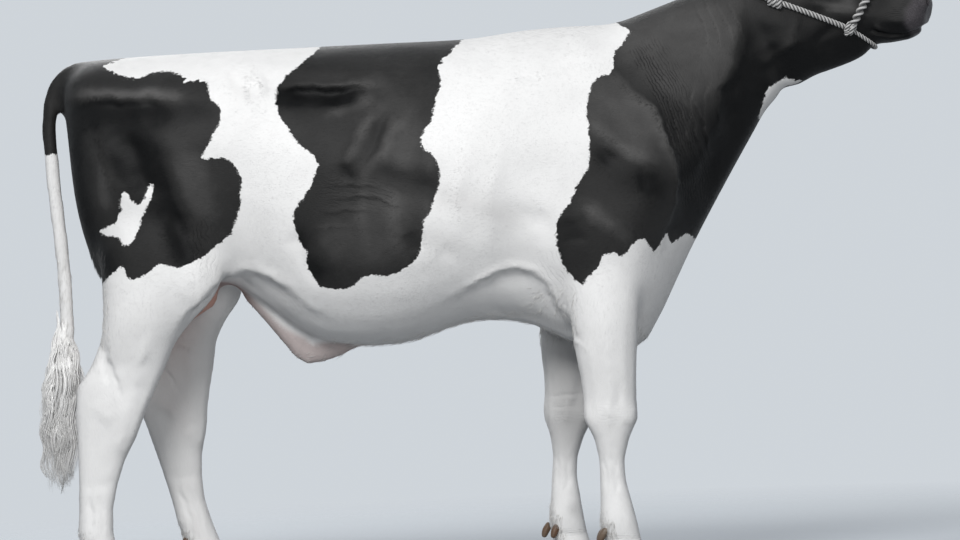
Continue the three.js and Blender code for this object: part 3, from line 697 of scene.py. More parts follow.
def form_lids(co, side):
    """Opens the lids over the eyeball and lays their rims and folds round it."""
    centre, axis, front, up = eye_frame(side)
    away = co - centre
    near = (np.linalg.norm(away, axis=1) < 0.070) & (away @ axis > -0.002)
    part = away[near]
    along, high, out = part @ front, part @ up, part @ axis
    tall = np.where(high > 0, EYE_OPENING[1], EYE_OPENING[2])
    opening = (np.abs(along / EYE_OPENING[0]) ** 1.6 + np.abs(high / tall) ** 1.6) ** (1 / 1.6)
    rim = between(opening, 0.86, 1.14)
    along, high = (np.where(rim, reach / opening, reach) for reach in (along, high))
    flat = along ** 2 + high ** 2

    def over(radius):
        return np.sqrt(np.maximum(radius ** 2 - flat, (0.45 * radius) ** 2))

    upper, lower = ramp(high, -0.001, 0.006), ramp(-high, 0.001, 0.006)
    fold = np.zeros(len(part))
    for depth, place, width, lid in ((0.0026, 1.55, 0.10, upper), (0.0012, 2.05, 0.13, upper),
                                     (0.0014, 1.65, 0.14, lower), (0.0010, 2.20, 0.16, lower)):
        fold += depth * bell(opening - place, width) * lid
    out += (over(EYE_RADIUS + 0.0034) - out) * ramp(-opening, -2.3, -1.15) - fold
    out = np.where(rim, over(EYE_RADIUS + 0.0012), out)
    out = np.where(opening <= 0.86, over(EYE_RADIUS) - 0.006, out)
    co[near] = centre + along[:, None] * front + high[:, None] * up + out[:, None] * axis


def nostril_centre(side):
    return on_face(0.532, 0.052, 0.060 * SIDES[side])


def nostril_centres():
    return [nostril_centre(side) for side in SIDES]


def form_nostril(co, side):
    """A comma-shaped opening with a full outer wing."""
    axis = unit(np.array([0.76, 0.64 * SIDES[side], 0.10]))
    front = unit(np.cross(axis, (0.0, 0.0, 1.0)))
    front *= np.sign(front[0])
    up = unit(np.cross(front, axis))
    up *= np.sign(up[2])
    away = co - nostril_centre(side)
    along, high, out = away @ front, away @ up, away @ axis
    near = (np.abs(out) < 0.040) & (np.hypot(along, high) < 0.060)
    slant = along + 0.45 * high + 9.0 * high ** 2
    narrow = 0.0112 * (1.0 - 0.30 * np.clip(high / 0.020, -1.0, 1.0))
    opening = np.sqrt((slant / narrow) ** 2 + (high / 0.0205) ** 2)
    inside = np.sqrt(np.clip(1.0 - opening ** 2, 0.0, 1.0))
    pit = np.where(opening < 1.0, -0.026 * inside - 0.002, 0.0)
    wing = 0.0052 * bell(opening - 1.40, 0.34) * (0.55 + 0.45 * np.sign(-slant))
    groove = -0.0026 * bell(opening - 2.15, 0.30) * ramp(-slant, 0.0, 0.01)
    rim = (wing + groove) * (opening >= 1.0)
    snap = near & between(opening, 0.84, 1.16)
    stretch = 1.0 / opening - 1.0
    co[snap] += (stretch * along)[snap, None] * front + (stretch * high)[snap, None] * up
    pit = np.where(snap, 0.0018, pit)
    co[near] += (pit + rim)[near, None] * axis


def hair_lay(co, normals):
    """The way the hair lies: back along the body, down the legs and back from the muzzle."""
    x, y, z = co.T
    lay = np.tile((-1.0, 0.0, -0.30), (len(co), 1))
    in_trunk = between(x, TRUNK_HIND, TRUNK_FORE)
    for share, way in (
        (ramp(x, 0.35, 0.60), (-0.62, 0.0, -0.78)),  # neck
        (ramp(x, 0.74, 0.86), (-1.0, 0.0, 0.12)),  # head
        (np.where(in_trunk, 0.0, 1.0 - ramp(z, 0.66, 0.98)), (-0.12, 0.0, -1.0)),  # legs
        (ramp(-x, 0.98, 1.14) * (z < 1.45), (-0.2, 0.0, -1.0)),  # hams
    ):
        lay = lay * (1 - share[:, None]) + share[:, None] * np.array(way)
    lay[:, 1] += 0.16 * np.sign(y)
    return unit(lay - normals * (lay * normals).sum(1)[:, None])


# ---------------------------------------------------------------- materials
def feed(tree, made, inputs):
    """Links outputs of other nodes into a node's inputs, or sets the inputs' own values."""
    for key, value in inputs.items():
        if isinstance(value, bpy.types.NodeSocket):
            tree.links.new(value, made.inputs[key])
        else:
            made.inputs[key].default_value = value


def node(tree, kind, inputs=None, **settings):
    made = tree.nodes.new(kind)
    for key, value in settings.items():
        setattr(made, key, value)
    feed(tree, made, inputs or {})
    return made


def maths(tree, operation, *values, clamp=False):
    made = node(tree, "ShaderNodeMath", dict(enumerate(values)), operation=operation, use_clamp=clamp)
    return made.outputs[0]


def scaled(tree, value, factor, added, clamp=False):
    return maths(tree, "MULTIPLY_ADD", value, factor, added, clamp=clamp)


def blended(tree, share, first, second):
    """A colour between two, by a share from 0 to 1."""
    made = node(tree, "ShaderNodeMix", {0: share, 6: first, 7: second}, data_type="RGBA", clamp_factor=True)
    return made.outputs[2]


def tint(colour, factor=1.0):
    """A colour of the settings made darker or brighter, as a shader takes it."""
    return (*[c * factor for c in colour], 1)


def noise(tree, place, scale, detail=2.0, roughness=0.5):
    inputs = {"Vector": place, "Scale": scale, "Detail": detail, "Roughness": roughness}
    return node(tree, "ShaderNodeTexNoise", inputs).outputs["Fac"]


def stretched(tree, place, turn, scale):
    inputs = {"Vector": place, "Rotation": turn, "Scale": scale}
    return node(tree, "ShaderNodeMapping", inputs).outputs["Vector"]


def group(name, inputs, outputs):
    """An empty shader node group: inputs with a default are numbers, and those without are places."""
    tree = bpy.data.node_groups.new(name, "ShaderNodeTree")
    for label, default in inputs.items():
        kind = "NodeSocketVector" if default is None else "NodeSocketFloat"
        socket = tree.interface.new_socket(name=label, in_out="INPUT", socket_type=kind)
        if default is not None:
            socket.default_value = default
    for label in outputs:
        tree.interface.new_socket(name=label, in_out="OUTPUT", socket_type="NodeSocketFloat")
    return tree, tree.nodes.new("NodeGroupInput").outputs, tree.nodes.new("NodeGroupOutput").inputs


def hair_grain_group():
    """Fine streaks of short hair, along the body or down the legs."""
    tree, entry, leave = group("Hair grain", {"Place": None, "Downwards": 0.0}, ("Height", "Broad"))
    place, share = entry["Place"], entry["Downwards"]
    wander = node(tree, "ShaderNodeTexNoise", {"Vector": place, "Scale": 9.0, "Detail": 2.0})
    bent = {0: wander.outputs["Color"], 1: (0.030, 0.030, 0.030), 2: place}
    bent = node(tree, "ShaderNodeVectorMath", bent, operation="MULTIPLY_ADD").outputs[0]
    back = noise(tree, stretched(tree, bent, (0.0, 0.30, 0.0), (60.0, 480.0, 480.0)), 1.0, 3.0, 0.7)
    down = noise(tree, stretched(tree, bent, (0.0, 0.0, 0.0), (480.0, 480.0, 64.0)), 1.0, 3.0, 0.7)
    along_body = maths(tree, "MULTIPLY", back, maths(tree, "SUBTRACT", 1.0, share))
    streak = maths(tree, "ADD", along_body, maths(tree, "MULTIPLY", down, share))
    tree.links.new(streak, leave["Height"])
    tree.links.new(noise(tree, place, 14.0, 4.0, 0.6), leave["Broad"])


def patch_edge_group():
    """Turns the distance into a black patch into a mask with a ragged, hairy edge."""
    inputs = {"Depth": 0.0, "Place": None, "Streak": 0.5, "Raggedness": 0.010}
    tree, entry, leave = group("Patch edge", inputs, ("Black",))
    coarse = maths(tree, "SUBTRACT", noise(tree, entry["Place"], 58.0, 5.0, 0.72), 0.5)
    fine = maths(tree, "SUBTRACT", entry["Streak"], 0.5)
    wander = maths(tree, "MULTIPLY", maths(tree, "ADD", coarse, maths(tree, "MULTIPLY", fine, 0.4)),
                   maths(tree, "MULTIPLY", entry["Raggedness"], 2.0))
    depth = maths(tree, "ADD", entry["Depth"], wander)
    tree.links.new(scaled(tree, depth, 900.0, 0.5, clamp=True), leave["Black"])


def wrinkle_group():
    """Thin valleys between folds of skin, from a count of folds."""
    tree, entry, leave = group("Wrinkles", {"Count": 0.0, "Strength": 0.0, "Place": None}, ("Valley",))
    drift = scaled(tree, noise(tree, entry["Place"], 22.0, 3.0, 0.6), 3.2, entry["Count"])
    wave = maths(tree, "ABSOLUTE", maths(tree, "SINE", maths(tree, "MULTIPLY", drift, math.pi)))
    valley = maths(tree, "POWER", maths(tree, "SUBTRACT", 1.0, wave), 2.2)
    broken = scaled(tree, noise(tree, entry["Place"], 34.0, 2.0), 3.0, -0.9, clamp=True)
    tree.links.new(maths(tree, "MULTIPLY", maths(tree, "MULTIPLY", valley, broken), entry["Strength"]),
                   leave["Valley"])


def shader_material(name):
    """A new material with its tree, its shader and the place on the object that its patterns follow."""
    material = bpy.data.materials.new(name)
    material.use_nodes = True
    tree = material.node_tree
    tree.nodes.clear()
    output = tree.nodes.new("ShaderNodeOutputMaterial")
    principled = tree.nodes.new("ShaderNodeBsdfPrincipled")
    tree.links.new(principled.outputs[0], output.inputs[0])
    return material, tree, principled, node(tree, "ShaderNodeTexCoord").outputs["Object"]


def place_used(tree, name, inputs):
    """A node group's outputs, for these inputs."""
    return node(tree, "ShaderNodeGroup", inputs, node_tree=bpy.data.node_groups[name]).outputs


def value_of(tree, name):
    return node(tree, "ShaderNodeAttribute", attribute_name=name).outputs["Fac"]


def bumped(tree, height, strength, distance):
    inputs = {"Strength": strength, "Distance": distance, "Height": height}
    return node(tree, "ShaderNodeBump", inputs).outputs[0]


def mixed(tree, share, first, second, output):
    """Shows two shaders, by a share from 0 to 1."""
    mix = node(tree, "ShaderNodeMixShader", {0: share, 1: first.outputs[0], 2: second.outputs[0]})
    tree.links.new(mix.outputs[0], output.inputs[0])


def coat_material(name, settings):
    """Black and white short coat, with bare pink skin and nose leather where they are marked."""
    material, tree, principled, place = shader_material(name)
    grain = place_used(tree, "Hair grain", {"Place": place, "Downwards": value_of(tree, "downwards")})
    streak, broad = grain["Height"], grain["Broad"]
    black = place_used(tree, "Patch edge", {"Depth": value_of(tree, "blackness"), "Place": place,
                                            "Streak": streak, "Raggedness": 0.0135})["Black"]
    valley = place_used(tree, "Wrinkles", {"Count": value_of(tree, "wrinkle"), "Place": place,
                                           "Strength": value_of(tree, "wrinkled")})["Valley"]
    # Painted shade in hollows and wrinkle valleys, and painted sheen on ridges, through the tone.
    tone = scaled(tree, valley, -0.35, value_of(tree, "tone"))
    tone = scaled(tree, broad, 0.30, maths(tree, "SUBTRACT", tone, 0.15))
    dark = blended(tree, streak, tint(settings.black, 0.7), tint(settings.black, 1.4))
    sheen = blended(tree, streak, tint(settings.sheen, 0.7), tint(settings.sheen, 1.3))
    dark = blended(tree, maths(tree, "MULTIPLY", tone, 2.0), (0.0015, 0.0015, 0.0016, 1), dark)
    dark = blended(tree, scaled(tree, tone, 2.0, -1.0), dark, sheen)
    pale = blended(tree, streak, tint(settings.white, 0.92), tint(settings.white))
    soiled = scaled(tree, noise(tree, place, 7.5, 5.0, 0.62), 1.5, -0.62, clamp=True)
    # Painted shade in the wrinkle valleys, with random dirt, greys the white.
    crease_shade_and_dirt = scaled(tree, valley, 0.5, maths(tree, "MULTIPLY", soiled, 0.45))
    grey = blended(tree, crease_shade_and_dirt, pale, (0.56, 0.555, 0.55, 1))
    # Painted shade on the leg insides and greyish lines, and one smudge, grey the white further.
    grey = blended(tree, value_of(tree, "shaded"), grey, (0.42, 0.415, 0.41, 1))
    colour = blended(tree, black, grey, dark)
    blotch = scaled(tree, noise(tree, place, 48.0, 4.0, 0.7), 3.0, -1.55, clamp=True)
    flesh = blended(tree, broad, tint(settings.skin, 0.85), tint(settings.skin))
    flesh = blended(tree, maths(tree, "MULTIPLY", blotch, 0.6), flesh, tint(settings.skin, 0.35))
    colour = blended(tree, value_of(tree, "bareness"), colour, flesh)
    purse = blended(tree, broad, (0.52, 0.28, 0.23, 1), (0.68, 0.44, 0.37, 1))
    colour = blended(tree, value_of(tree, "purse"), colour, purse)
    nose = value_of(tree, "nose")
    cells = node(tree, "ShaderNodeTexVoronoi", {"Scale": 330.0, "Vector": place}).outputs["Distance"]
    leather = blended(tree, cells, (0.026, 0.024, 0.026, 1), (0.075, 0.068, 0.075, 1))
    rough = scaled(tree, black, -0.16, 0.68)
    rough = scaled(tree, streak, 0.12, maths(tree, "SUBTRACT", rough, 0.06))
    height = maths(tree, "ADD", streak, maths(tree, "MULTIPLY", broad, 1.2))
    height = scaled(tree, valley, -2.2, height)
    height = maths(tree, "ADD", height, maths(tree, "MULTIPLY", cells, maths(tree, "MULTIPLY", nose, 1.6)))
    feed(tree, principled, {
        "Base Color": blended(tree, nose, colour, leather),
        "Roughness": scaled(tree, nose, -0.16, rough),
        "Specular IOR Level": 0.14,
        "Normal": bumped(tree, height, 0.55, 0.0014),
    })
    return material


def lock_material(name, colours, tips):
    """Long hair, mottled from lock to lock and along each."""
    material, tree, principled, place = shader_material(name)
    colour = blended(tree, value_of(tree, "tone"), tint(colours[0]), tint(colours[1]))
    patchy = noise(tree, stretched(tree, place, (0, 0, 0), (60.0, 60.0, 9.0)), 1.0, 3.0)
    share = scaled(tree, patchy, 1.6, -0.55, clamp=True)
    feed(tree, principled, {
        "Base Color": blended(tree, share, colour, tint(tips)),
        "Roughness": scaled(tree, patchy, 0.2, 0.45),
        "Sheen Weight": 0.15,
    })
    return material


# ---------------------------------------------------------------- settings
class BullCoatSettings(bpy.types.PropertyGroup):
    """Sizes and colours of the skin and coat."""

    black: FloatVectorProperty(name="Black", description="Colour of the black hair", subtype="COLOR",
                               size=3, default=(0.022, 0.0215, 0.021), min=0.0, max=1.0)
    sheen: FloatVectorProperty(name="Sheen", description="Colour of the black hair where it shines",
                               subtype="COLOR", size=3, default=(0.090, 0.088, 0.086), min=0.0, max=1.0)
    white: FloatVectorProperty(name="White", description="Colour of the white hair", subtype="COLOR",
                               size=3, default=(0.86, 0.855, 0.845), min=0.0, max=1.0)
    skin: FloatVectorProperty(name="Bare skin", description="Colour of the thin-haired skin", subtype="COLOR",
                              size=3, default=(0.44, 0.335, 0.315), min=0.0, max=1.0)
    depth: FloatProperty(name="Coat depth", description="How far the skin lies under the coat's outline",
                         subtype="DISTANCE", unit="LENGTH", default=0.0025, min=0.0, max=0.02)
    hair: FloatProperty(name="Hair length", description="Length of the body's short hair", subtype="DISTANCE",
                        unit="LENGTH", default=0.014, min=0.004, max=0.06)
    grain: FloatProperty(name="Mesh size", description="Size of the skin's faces on the trunk",
                         subtype="DISTANCE", unit="LENGTH", default=0.0075, min=0.005, max=0.05)
    tufts: IntProperty(name="Tufts", description="How many tufts of short hair lie on the whole body",
                       default=210000, min=1000, max=280000)


class BullHalterSettings(bpy.types.PropertyGroup):
    """Sizes and colours of the rope halter."""

    radius: FloatProperty(name="Rope radius", description="Half the thickness of the rope",
                          subtype="DISTANCE", unit="LENGTH", default=0.0082, min=0.003, max=0.02)
    pitch: FloatProperty(name="Twist", description="Length of rope in which a strand turns once round",
                         subtype="DISTANCE", unit="LENGTH", default=0.036, min=0.01, max=0.2)
    pale: FloatVectorProperty(name="Pale strand", description="Colour of the rope's pale yarn",
                              subtype="COLOR", size=3, default=(0.58, 0.575, 0.565), min=0.0, max=1.0)
    # Painted shade: this colour lies in the grooves between the strands.
    dark: FloatVectorProperty(name="Dark strand", description="Colour of the rope's dark yarn",
                              subtype="COLOR", size=3, default=(0.025, 0.025, 0.026), min=0.0, max=1.0)


class BullStageSettings(bpy.types.PropertyGroup):
    """The stage round the bull."""

    floor: FloatVectorProperty(name="Floor", description="Colour of the floor and backdrop", subtype="COLOR",
                               size=3, default=(0.62, 0.66, 0.70), min=0.0, max=1.0)
    key: FloatProperty(name="Key light", description="Power of the key light", subtype="POWER",
                       unit="POWER", default=345.0, min=0.0, max=10000.0)
    distance: FloatProperty(name="Camera distance", description="From the camera to the bull's middle",
                            subtype="DISTANCE", unit="LENGTH", default=12.0, min=3.0, max=50.0)


# ---------------------------------------------------------------- the skin
FLESH = ("trunk", "neck", "head", "sheath", "scrotum", "tail", "eye_right", "eye_left",
         *("leg_" + leg for leg in LEGS))

BODY_PASSES = 90  # of smoothing, which round the faceted solids
SKIN_TRIANGLES = 142000  # before the lips, lids and nostrils are made finer
EAR_GRAIN = 0.0032  # size of the ears' faces
EAR_ROOT = 0.135  # distance off the middle at which an ear leaves the head
SHEATH_TIP = np.array((-0.534, 0.0, 0.641))
SHEATH_LINE = [(-76, 88), (-68.6, 80.3), (-60.5, 71.5), (-55.5, 66.6), (-53, 64.4), (-46.7, 66.3),
               (-36, 69.2)]  # in centimetres


def body_shell(grain):
    """The flesh nodes grown together into one even mesh."""
    copies = {name: copied_node(name, 0.005 if name == "tail" else 0.0008) for name in FLESH}
    purse = copies["scrotum"]
    co = points_of(purse)
    co[:, 0] += 0.032 * ramp(co[:, 2], 0.76, 0.84) - 0.028 * ramp(-co[:, 2], -0.79, -0.72)
    move_points(purse, co)
    shell = joined(list(copies.values()), "skin")
    apply_modifier(shell, "REMESH", mode="VOXEL", voxel_size=grain, adaptivity=0.0)
    return shell


def softness(co):
    """How far the faceted solids are rounded at each point: much on the trunk, little on thin parts."""
    x, y, z = co.T
    thin = np.where(between(x, -0.36, 0.15), 0.0, 1.0 - ramp(z, 0.62, 0.86))
    thin = np.maximum(thin, ramp(x, 0.70, 0.80))
    throat = on_face(0.150, 0.330, 0.0)[[0, 2]]
    thin *= 1.0 - bell(np.linalg.norm(co[:, [0, 2]] - throat, axis=1), 0.065)
    sheath = ramp(-np.abs(y), -0.11, -0.06) * ramp(-z, -0.90, -0.82)
    thin = np.maximum(thin, sheath * between(x, -1.05, -0.36))
    return 1.0 - 0.88 * thin


def ear_shell(side):
    """One ear, rounded and with a soft edge, its hollow to the front."""
    ear = copied_node("ear_" + side)
    apply_modifier(ear, "REMESH", mode="VOXEL", voxel_size=EAR_GRAIN, adaptivity=0.0)
    soften(ear, np.full(len(ear.data.vertices), 0.8), 10)
    co = points_of(ear)
    root = np.abs(co[:, 1]) < EAR_ROOT
    co[root, 1] -= np.sign(co[root, 1]) * 0.022 * (1.0 - (np.abs(co[root, 1]) - 0.126) / 0.009)
    move_points(ear, co)
    co, _, normals = mesh_data(ear)
    out = np.abs(co[:, 1])
    bands = np.linspace(out.min(), out.max(), 14)
    inside = [co[np.abs(out - band) < 0.010] for band in bands]
    low, high = (np.interp(out, bands, [limit(c[:, 2]) for c in inside]) for limit in (np.min, np.max))
    across = (co[:, 2] - (low + high) / 2) / np.maximum((high - low) / 2, 0.004)
    share = np.clip((out - EAR_ROOT) / (bands[-1] - EAR_ROOT), 0.0, 1.0)
    hollow = 0.020 * np.sin(np.pi * share) ** 0.6 * np.clip(1.0 - across ** 2, 0.0, 1.0) ** 0.7
    co[:, 0] -= hollow * ramp(normals[:, 0], 0.0, 0.5)
    move_points(ear, co)
    soften(ear, np.full(len(co), 0.6), 4)
    return ear


def bareness_of(co, normals):
    """How bare the skin is: along the sheath, in the groin and a little inside the ears."""
    x, y, z = co.T
    out = np.abs(y)
    reach = np.hypot(line_distance(co[:, [0, 2]], metres(SHEATH_LINE)), 0.7 * np.maximum(out - 0.02, 0.0))
    width = np.interp(x, (-0.76, -0.60, -0.53, -0.46, -0.37), (0.020, 0.027, 0.048, 0.036, 0.010))
    sheath = 1.0 - ramp(reach, width, width + 0.018)
    groin = ramp(-x, 0.66, 0.74) * ramp(-z, -0.93, -0.86) * (x > -1.06) * ramp(-out, -0.12, -0.06)
    inside_ear = ramp(out, 0.145, 0.200) * (z > 1.6) * ramp(normals[:, 0], 0.2, 0.8)
    return np.clip(0.7 * sheath + 0.7 * groin, 0.0, 1.0) + 0.14 * inside_ear


def purse_of(co):
    """Which points are the purse's pink skin."""
    x, y, z = co.T
    share = ramp(-np.abs(y), -0.085, -0.060) * between(x, -1.06, -0.77)
    return share * ramp(-z, -0.885, -0.850) * (z > 0.55)


def shaded_of(co, normals):
    """How grey the white hair is: painted shade inside the legs and on the greyish lines, and one smudge."""
    x, y, z = co.T
    # Painted shade: the insides of the legs are greyed.
    inner = ramp(-normals[:, 1] * np.sign(y), 0.0, 0.5) * ramp(np.abs(y), 0.02, 0.06)
    fore = 0.80 * ramp(x, 0.10, 0.20) * ramp(z, 0.26, 0.46)
    hind = 0.30 * ramp(-x, 0.70, 0.80) * ramp(z, 0.10, 0.30)
    smudge = 0.5 * bell(np.hypot(x - 0.211, z - 0.195), 0.018) * (y > 0)
    return inner * (fore + hind) * ramp(-z, -0.85, -0.72) + smudge + shade_of(co, GREYS)


def nose_of(co):
    """Which points are nose leather, in front of a curved edge."""
    along, drop = down_face(co - np.array(POLL))
    edge = np.interp(drop, (0.0, 0.024, 0.05, 0.09, 0.13, 0.165), (0.560, 0.548, 0.506, 0.482, 0.484, 0.520))
    return ramp(along - edge, -0.010, 0.014) * (co[:, 0] > 1.0)


class OBJECT_OT_bull_skin(bpy.types.Operator):
    """Grow the flesh solids into one skin, with lids, nostrils, folds and markings"""

    bl_idname = "object.bull_skin"
    bl_label = "Bull skin"

    def execute(self, context):
        settings = context.scene.bull_coat
        skin = body_shell(settings.grain)
        self.form_body(skin)
        self.form_head(skin)
        co, _, normals = mesh_data(skin)
        inset = settings.depth * ramp(nearest(co, eye_centres()), 0.024, 0.045)
        inset *= 0.4 + 0.6 * ramp(co[:, 2], 0.1, 0.3)
        move_points(skin, co - normals * inset[:, None])
        skin = joined([skin, ear_shell("right"), ear_shell("left")], "skin")
        self.mark(skin)
        in_edit_mode(skin, bpy.ops.uv.smart_project, angle_limit=math.radians(70), island_margin=0.002)
        skin.data.uv_layers.active.name = "SkinMap"
        skin.data.shade_smooth()
        skin.data.materials.clear()
        skin.data.materials.append(coat_material("skin_coat", settings))
        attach(skin, "root")
        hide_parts("trunk", "neck", "head", "ear_right", "ear_left", "tail", "sheath", "scrotum",
                    *("leg_" + leg for leg in LEGS))
        return {"FINISHED"}

    def form_body(self, skin):
        """Rounds the solids and lays folds on them, the purse's groove and the sheath's narrow tip."""
        soften(skin, softness(points_of(skin)), BODY_PASSES)
        refine(skin, lambda p: creased(p) | (p[:, 0] > 0.80) & (p[:, 2] > 1.34) | (p[:, 2] < 0.18))
        co = points_of(skin)
        soften(skin, 0.7 * ((co[:, 0] > 0.78) | creased(co)) + 0.4 * (co[:, 2] < 0.2), 5)
        co, _, normals = mesh_data(skin)
        rise = relief(co, normals)
        move_points(skin, co + normals * rise[:, None])
        # Painted shade in the hollows and painted highlight on the ridges, with the SHADES lines, as tone.
        set_values(skin.data, "tone", 0.42 + 42.0 * rise + shade_of(co, SHADES))
        co, edges, _ = mesh_data(skin)
        counts = np.bincount(edges.ravel(), minlength=len(co))
        lumpy = np.linalg.norm(co - neighbour_mean(co, edges, counts), axis=1) > 0.0022
        soften(skin, 1.0 * lumpy * (co[:, 2] > 0.2) * (co[:, 0] < 0.75), 6)
        co, _, normals = mesh_data(skin)
        x, y, z = co.T
        groove = bell(y, 0.009) * ramp(-z, -0.84, -0.78) * between(x, -1.06, -0.80) * (z > 0.58)
        co += normals * (-0.006 * groove)[:, None]
        pull = 0.40 * bell(np.linalg.norm((co - SHEATH_TIP) * (1.0, 0.5, 1.0), axis=1) - 0.006, 0.026)
        move_points(skin, co + (SHEATH_TIP - co) * (1.0, 0.0, 1.0) * pull[:, None])

    def form_head(self, skin):
        """Forms the head in an ever finer mesh, down to its lips, lids and nostrils."""
        eyes, nostrils = eye_centres(), nostril_centres()
        muzzle = on_face(0.38, 0, 0)[0]

        def fine(p):
            return (nearest(p, eyes) < 0.045) | (nearest(p, nostrils) < 0.040) | (p[:, 0] > muzzle)

        def finest(p):
            by_lips = (line_distance(p[:, [0, 2]], lip_line()) < 0.010) & (p[:, 0] > 1.0)
            return (nearest(p, eyes + nostrils) < 0.034) | by_lips

        refine(skin, fine)
        soften(skin, 0.8 * fine(points_of(skin)), 3)
        co, _, normals = mesh_data(skin)
        move_points(skin, co + normals * head_forms(co)[:, None])
        triangles = sum(len(polygon.vertices) - 2 for polygon in skin.data.polygons)
        apply_modifier(skin, "DECIMATE", ratio=min(1.0, SKIN_TRIANGLES / triangles))
        soften(skin, np.full(len(skin.data.vertices), 0.5), 3)
        refine(skin, finest)
        soften(skin, 0.6 * finest(points_of(skin)), 2)
        co, _, normals = mesh_data(skin)
        co += normals * mouth_line(co, normals)[:, None]
        for side in SIDES:
            form_lids(co, side)
            form_nostril(co, side)
        move_points(skin, co)
        from_eye = nearest(co, eyes)
        by_eye = between(from_eye, EYE_RADIUS, 0.050)
        soften(skin, 1.2 * (nearest(co, nostrils) < 0.034) + 0.5 * by_eye, 4)

    def mark(self, skin):
        """Writes the coat's markings and kinds of skin on the mesh's points."""
        co, _, normals = mesh_data(skin)
        x, y, z = co.T
        black = np.where((x < -1.185) & (np.abs(y) < 0.05), z - 1.275, blackness(co))
        legs = np.where(between(x, TRUNK_HIND, TRUNK_FORE), 0.0, 1.0 - ramp(z, 0.66, 0.95))
        neck = ramp(x, 0.40, 0.60) * (1.0 - ramp(x, 0.74, 0.84))
        # Painted shade: the undersides of the neck and head are darker.
        under = ramp(x, 0.50, 0.75) * ramp(-normals[:, 2], 0.05, 0.45)
        tone = np.clip(values_of(skin.data, "tone") - 0.45 * under, 0.0, 1.0)
        count, strength = wrinkles_of(co)
        for name, values in (
            ("blackness", black),
            ("downwards", np.clip(legs + ramp(-x, 1.0, 1.12) + neck, 0.0, 1.0)),
            ("bareness", bareness_of(co, normals)),
            ("purse", purse_of(co)),
            ("tone", np.where(in_ear(co), 0.45, tone)),
            ("shaded", shaded_of(co, normals)),
            ("nose", nose_of(co)),
            ("wrinkle", count),
            ("wrinkled", strength),
        ):
            set_values(skin.data, name, values)


# ---------------------------------------------------------------- the coat
def skin_surface():
    """The skin's triangles with what the coat needs of them."""
    skin = bpy.data.objects["skin"]
    mesh = skin.data
    mesh.calc_loop_triangles()
    count = len(mesh.loop_triangles)
    verts, loops = np.empty(count * 3, int), np.empty(count * 3, int)
    mesh.loop_triangles.foreach_get("vertices", verts)
    mesh.loop_triangles.foreach_get("loops", loops)
    verts, loops = verts.reshape(-1, 3), loops.reshape(-1, 3)
    uv = np.empty(len(mesh.loops) * 2)
    mesh.uv_layers["SkinMap"].data.foreach_get("uv", uv)
    co, _, normals = mesh_data(skin)
    names = ("blackness", "downwards", "bareness", "nose", "tone", "purse", "wrinkle", "wrinkled", "shaded")
    a, b, c = (co[verts[:, i]] for i in range(3))
    double_area = np.linalg.norm(np.cross(b - a, c - a), axis=1)
    turned = unit(normals[verts])
    bend = 1.0 - np.min([(turned[:, i] * turned[:, i - 1]).sum(1) for i in range(3)], axis=0)
    return {"co": co, "normals": normals, "verts": verts, "uv": uv.reshape(-1, 2)[loops],
            "break": ramp(np.sqrt(np.maximum(bend, 0.0)) / np.sqrt(double_area), 4.0, 24.0),
            "area": double_area / 2, "centre": (a + b + c) / 3,
            "values": {name: values_of(mesh, name) for name in names}}


def scattered(surface, count, density, random):
    """Seeded places on the skin: their points, normals, map places and marked values."""
    chance = surface["area"] * density
    picked = np.sort(random.choice(len(chance), count, p=chance / chance.sum()))
    share = np.sqrt(random.random(count))
    other = random.random(count)
    weights = np.stack([1 - share, share * (1 - other), share * other], axis=1)
    corners = surface["verts"][picked]

    def spread(values):
        return (values[corners] * weights.reshape(count, 3, *[1] * (values.ndim - 1))).sum(1)

    return {"co": spread(surface["co"]), "normal": unit(spread(surface["normals"])),
            "break": surface["break"][picked],
            "uv": (surface["uv"][picked] * weights[:, :, None]).sum(1),
            "values": {name: spread(v) for name, v in surface["values"].items()}}


# A tuft's four points are its root, its two sides and its tip.
TUFT_FACES = np.array([(0, 3, 1), (0, 2, 3), (0, 1, 2), (1, 3, 2)])
TUFT_PATCH = np.array([(0, -1), (-1, 0), (1, 0), (0, 1)]) * 0.0015
TUFT_WEIGHT = {"coat_neck": 1.2, "coat_head": 3.4, "coat_legs": 1.6}  # how thickly they lie
TUFT_SIZE = {"coat_head": 0.5, "coat_legs": 0.7, "coat_neck": 0.9}
MOST_TUFTS = 49000  # in one piece


def lay_tufts(name, places, length, width, lift, random, material):
    """Flat pointed tufts, each a small closed body, lying along the coat."""
    root, normal, marks = places["co"], places["normal"], places["values"]
    count = len(root)
    lay = hair_lay(root, normal)
    across = unit(np.cross(normal, lay))
    lay = unit(lay + across * random.normal(0.0, 0.16, count)[:, None])
    across = unit(np.cross(normal, lay))
    border = ramp(np.abs(marks["blackness"]), 0.004, 0.016)
    length = (length * random.uniform(0.7, 1.2, count) * (0.45 + 0.55 * border))[:, None]
    width = (width * random.uniform(0.8, 1.25, count))[:, None]
    lift = (lift * random.uniform(0.5, 1.4, count) * (1.0 + 0.5 * places["break"]))[:, None]
    middle = root + lay * length * 0.42 + normal * (lift * 0.42 - 0.0004)
    co = np.stack([
        root - normal * 0.0004,
        middle + across * width / 2,
        middle - across * width / 2,
        root + lay * length + normal * lift,
    ], axis=1).reshape(-1, 3)
    faces = (TUFT_FACES + np.arange(count)[:, None, None] * 4).reshape(-1, 3)
    uv = (places["uv"][:, None] + TUFT_PATCH).reshape(-1, 2)
    values = {key: np.repeat(v, 4) for key, v in marks.items()}
    bend = np.array([0.0, 0.03, -0.03, 0.0])
    shade = unit(normal[:, None] + across[:, None] * bend[None, :, None])
    return build_mesh(name, co, outward(co, faces), material, values, uv, shade.reshape(-1, 3))


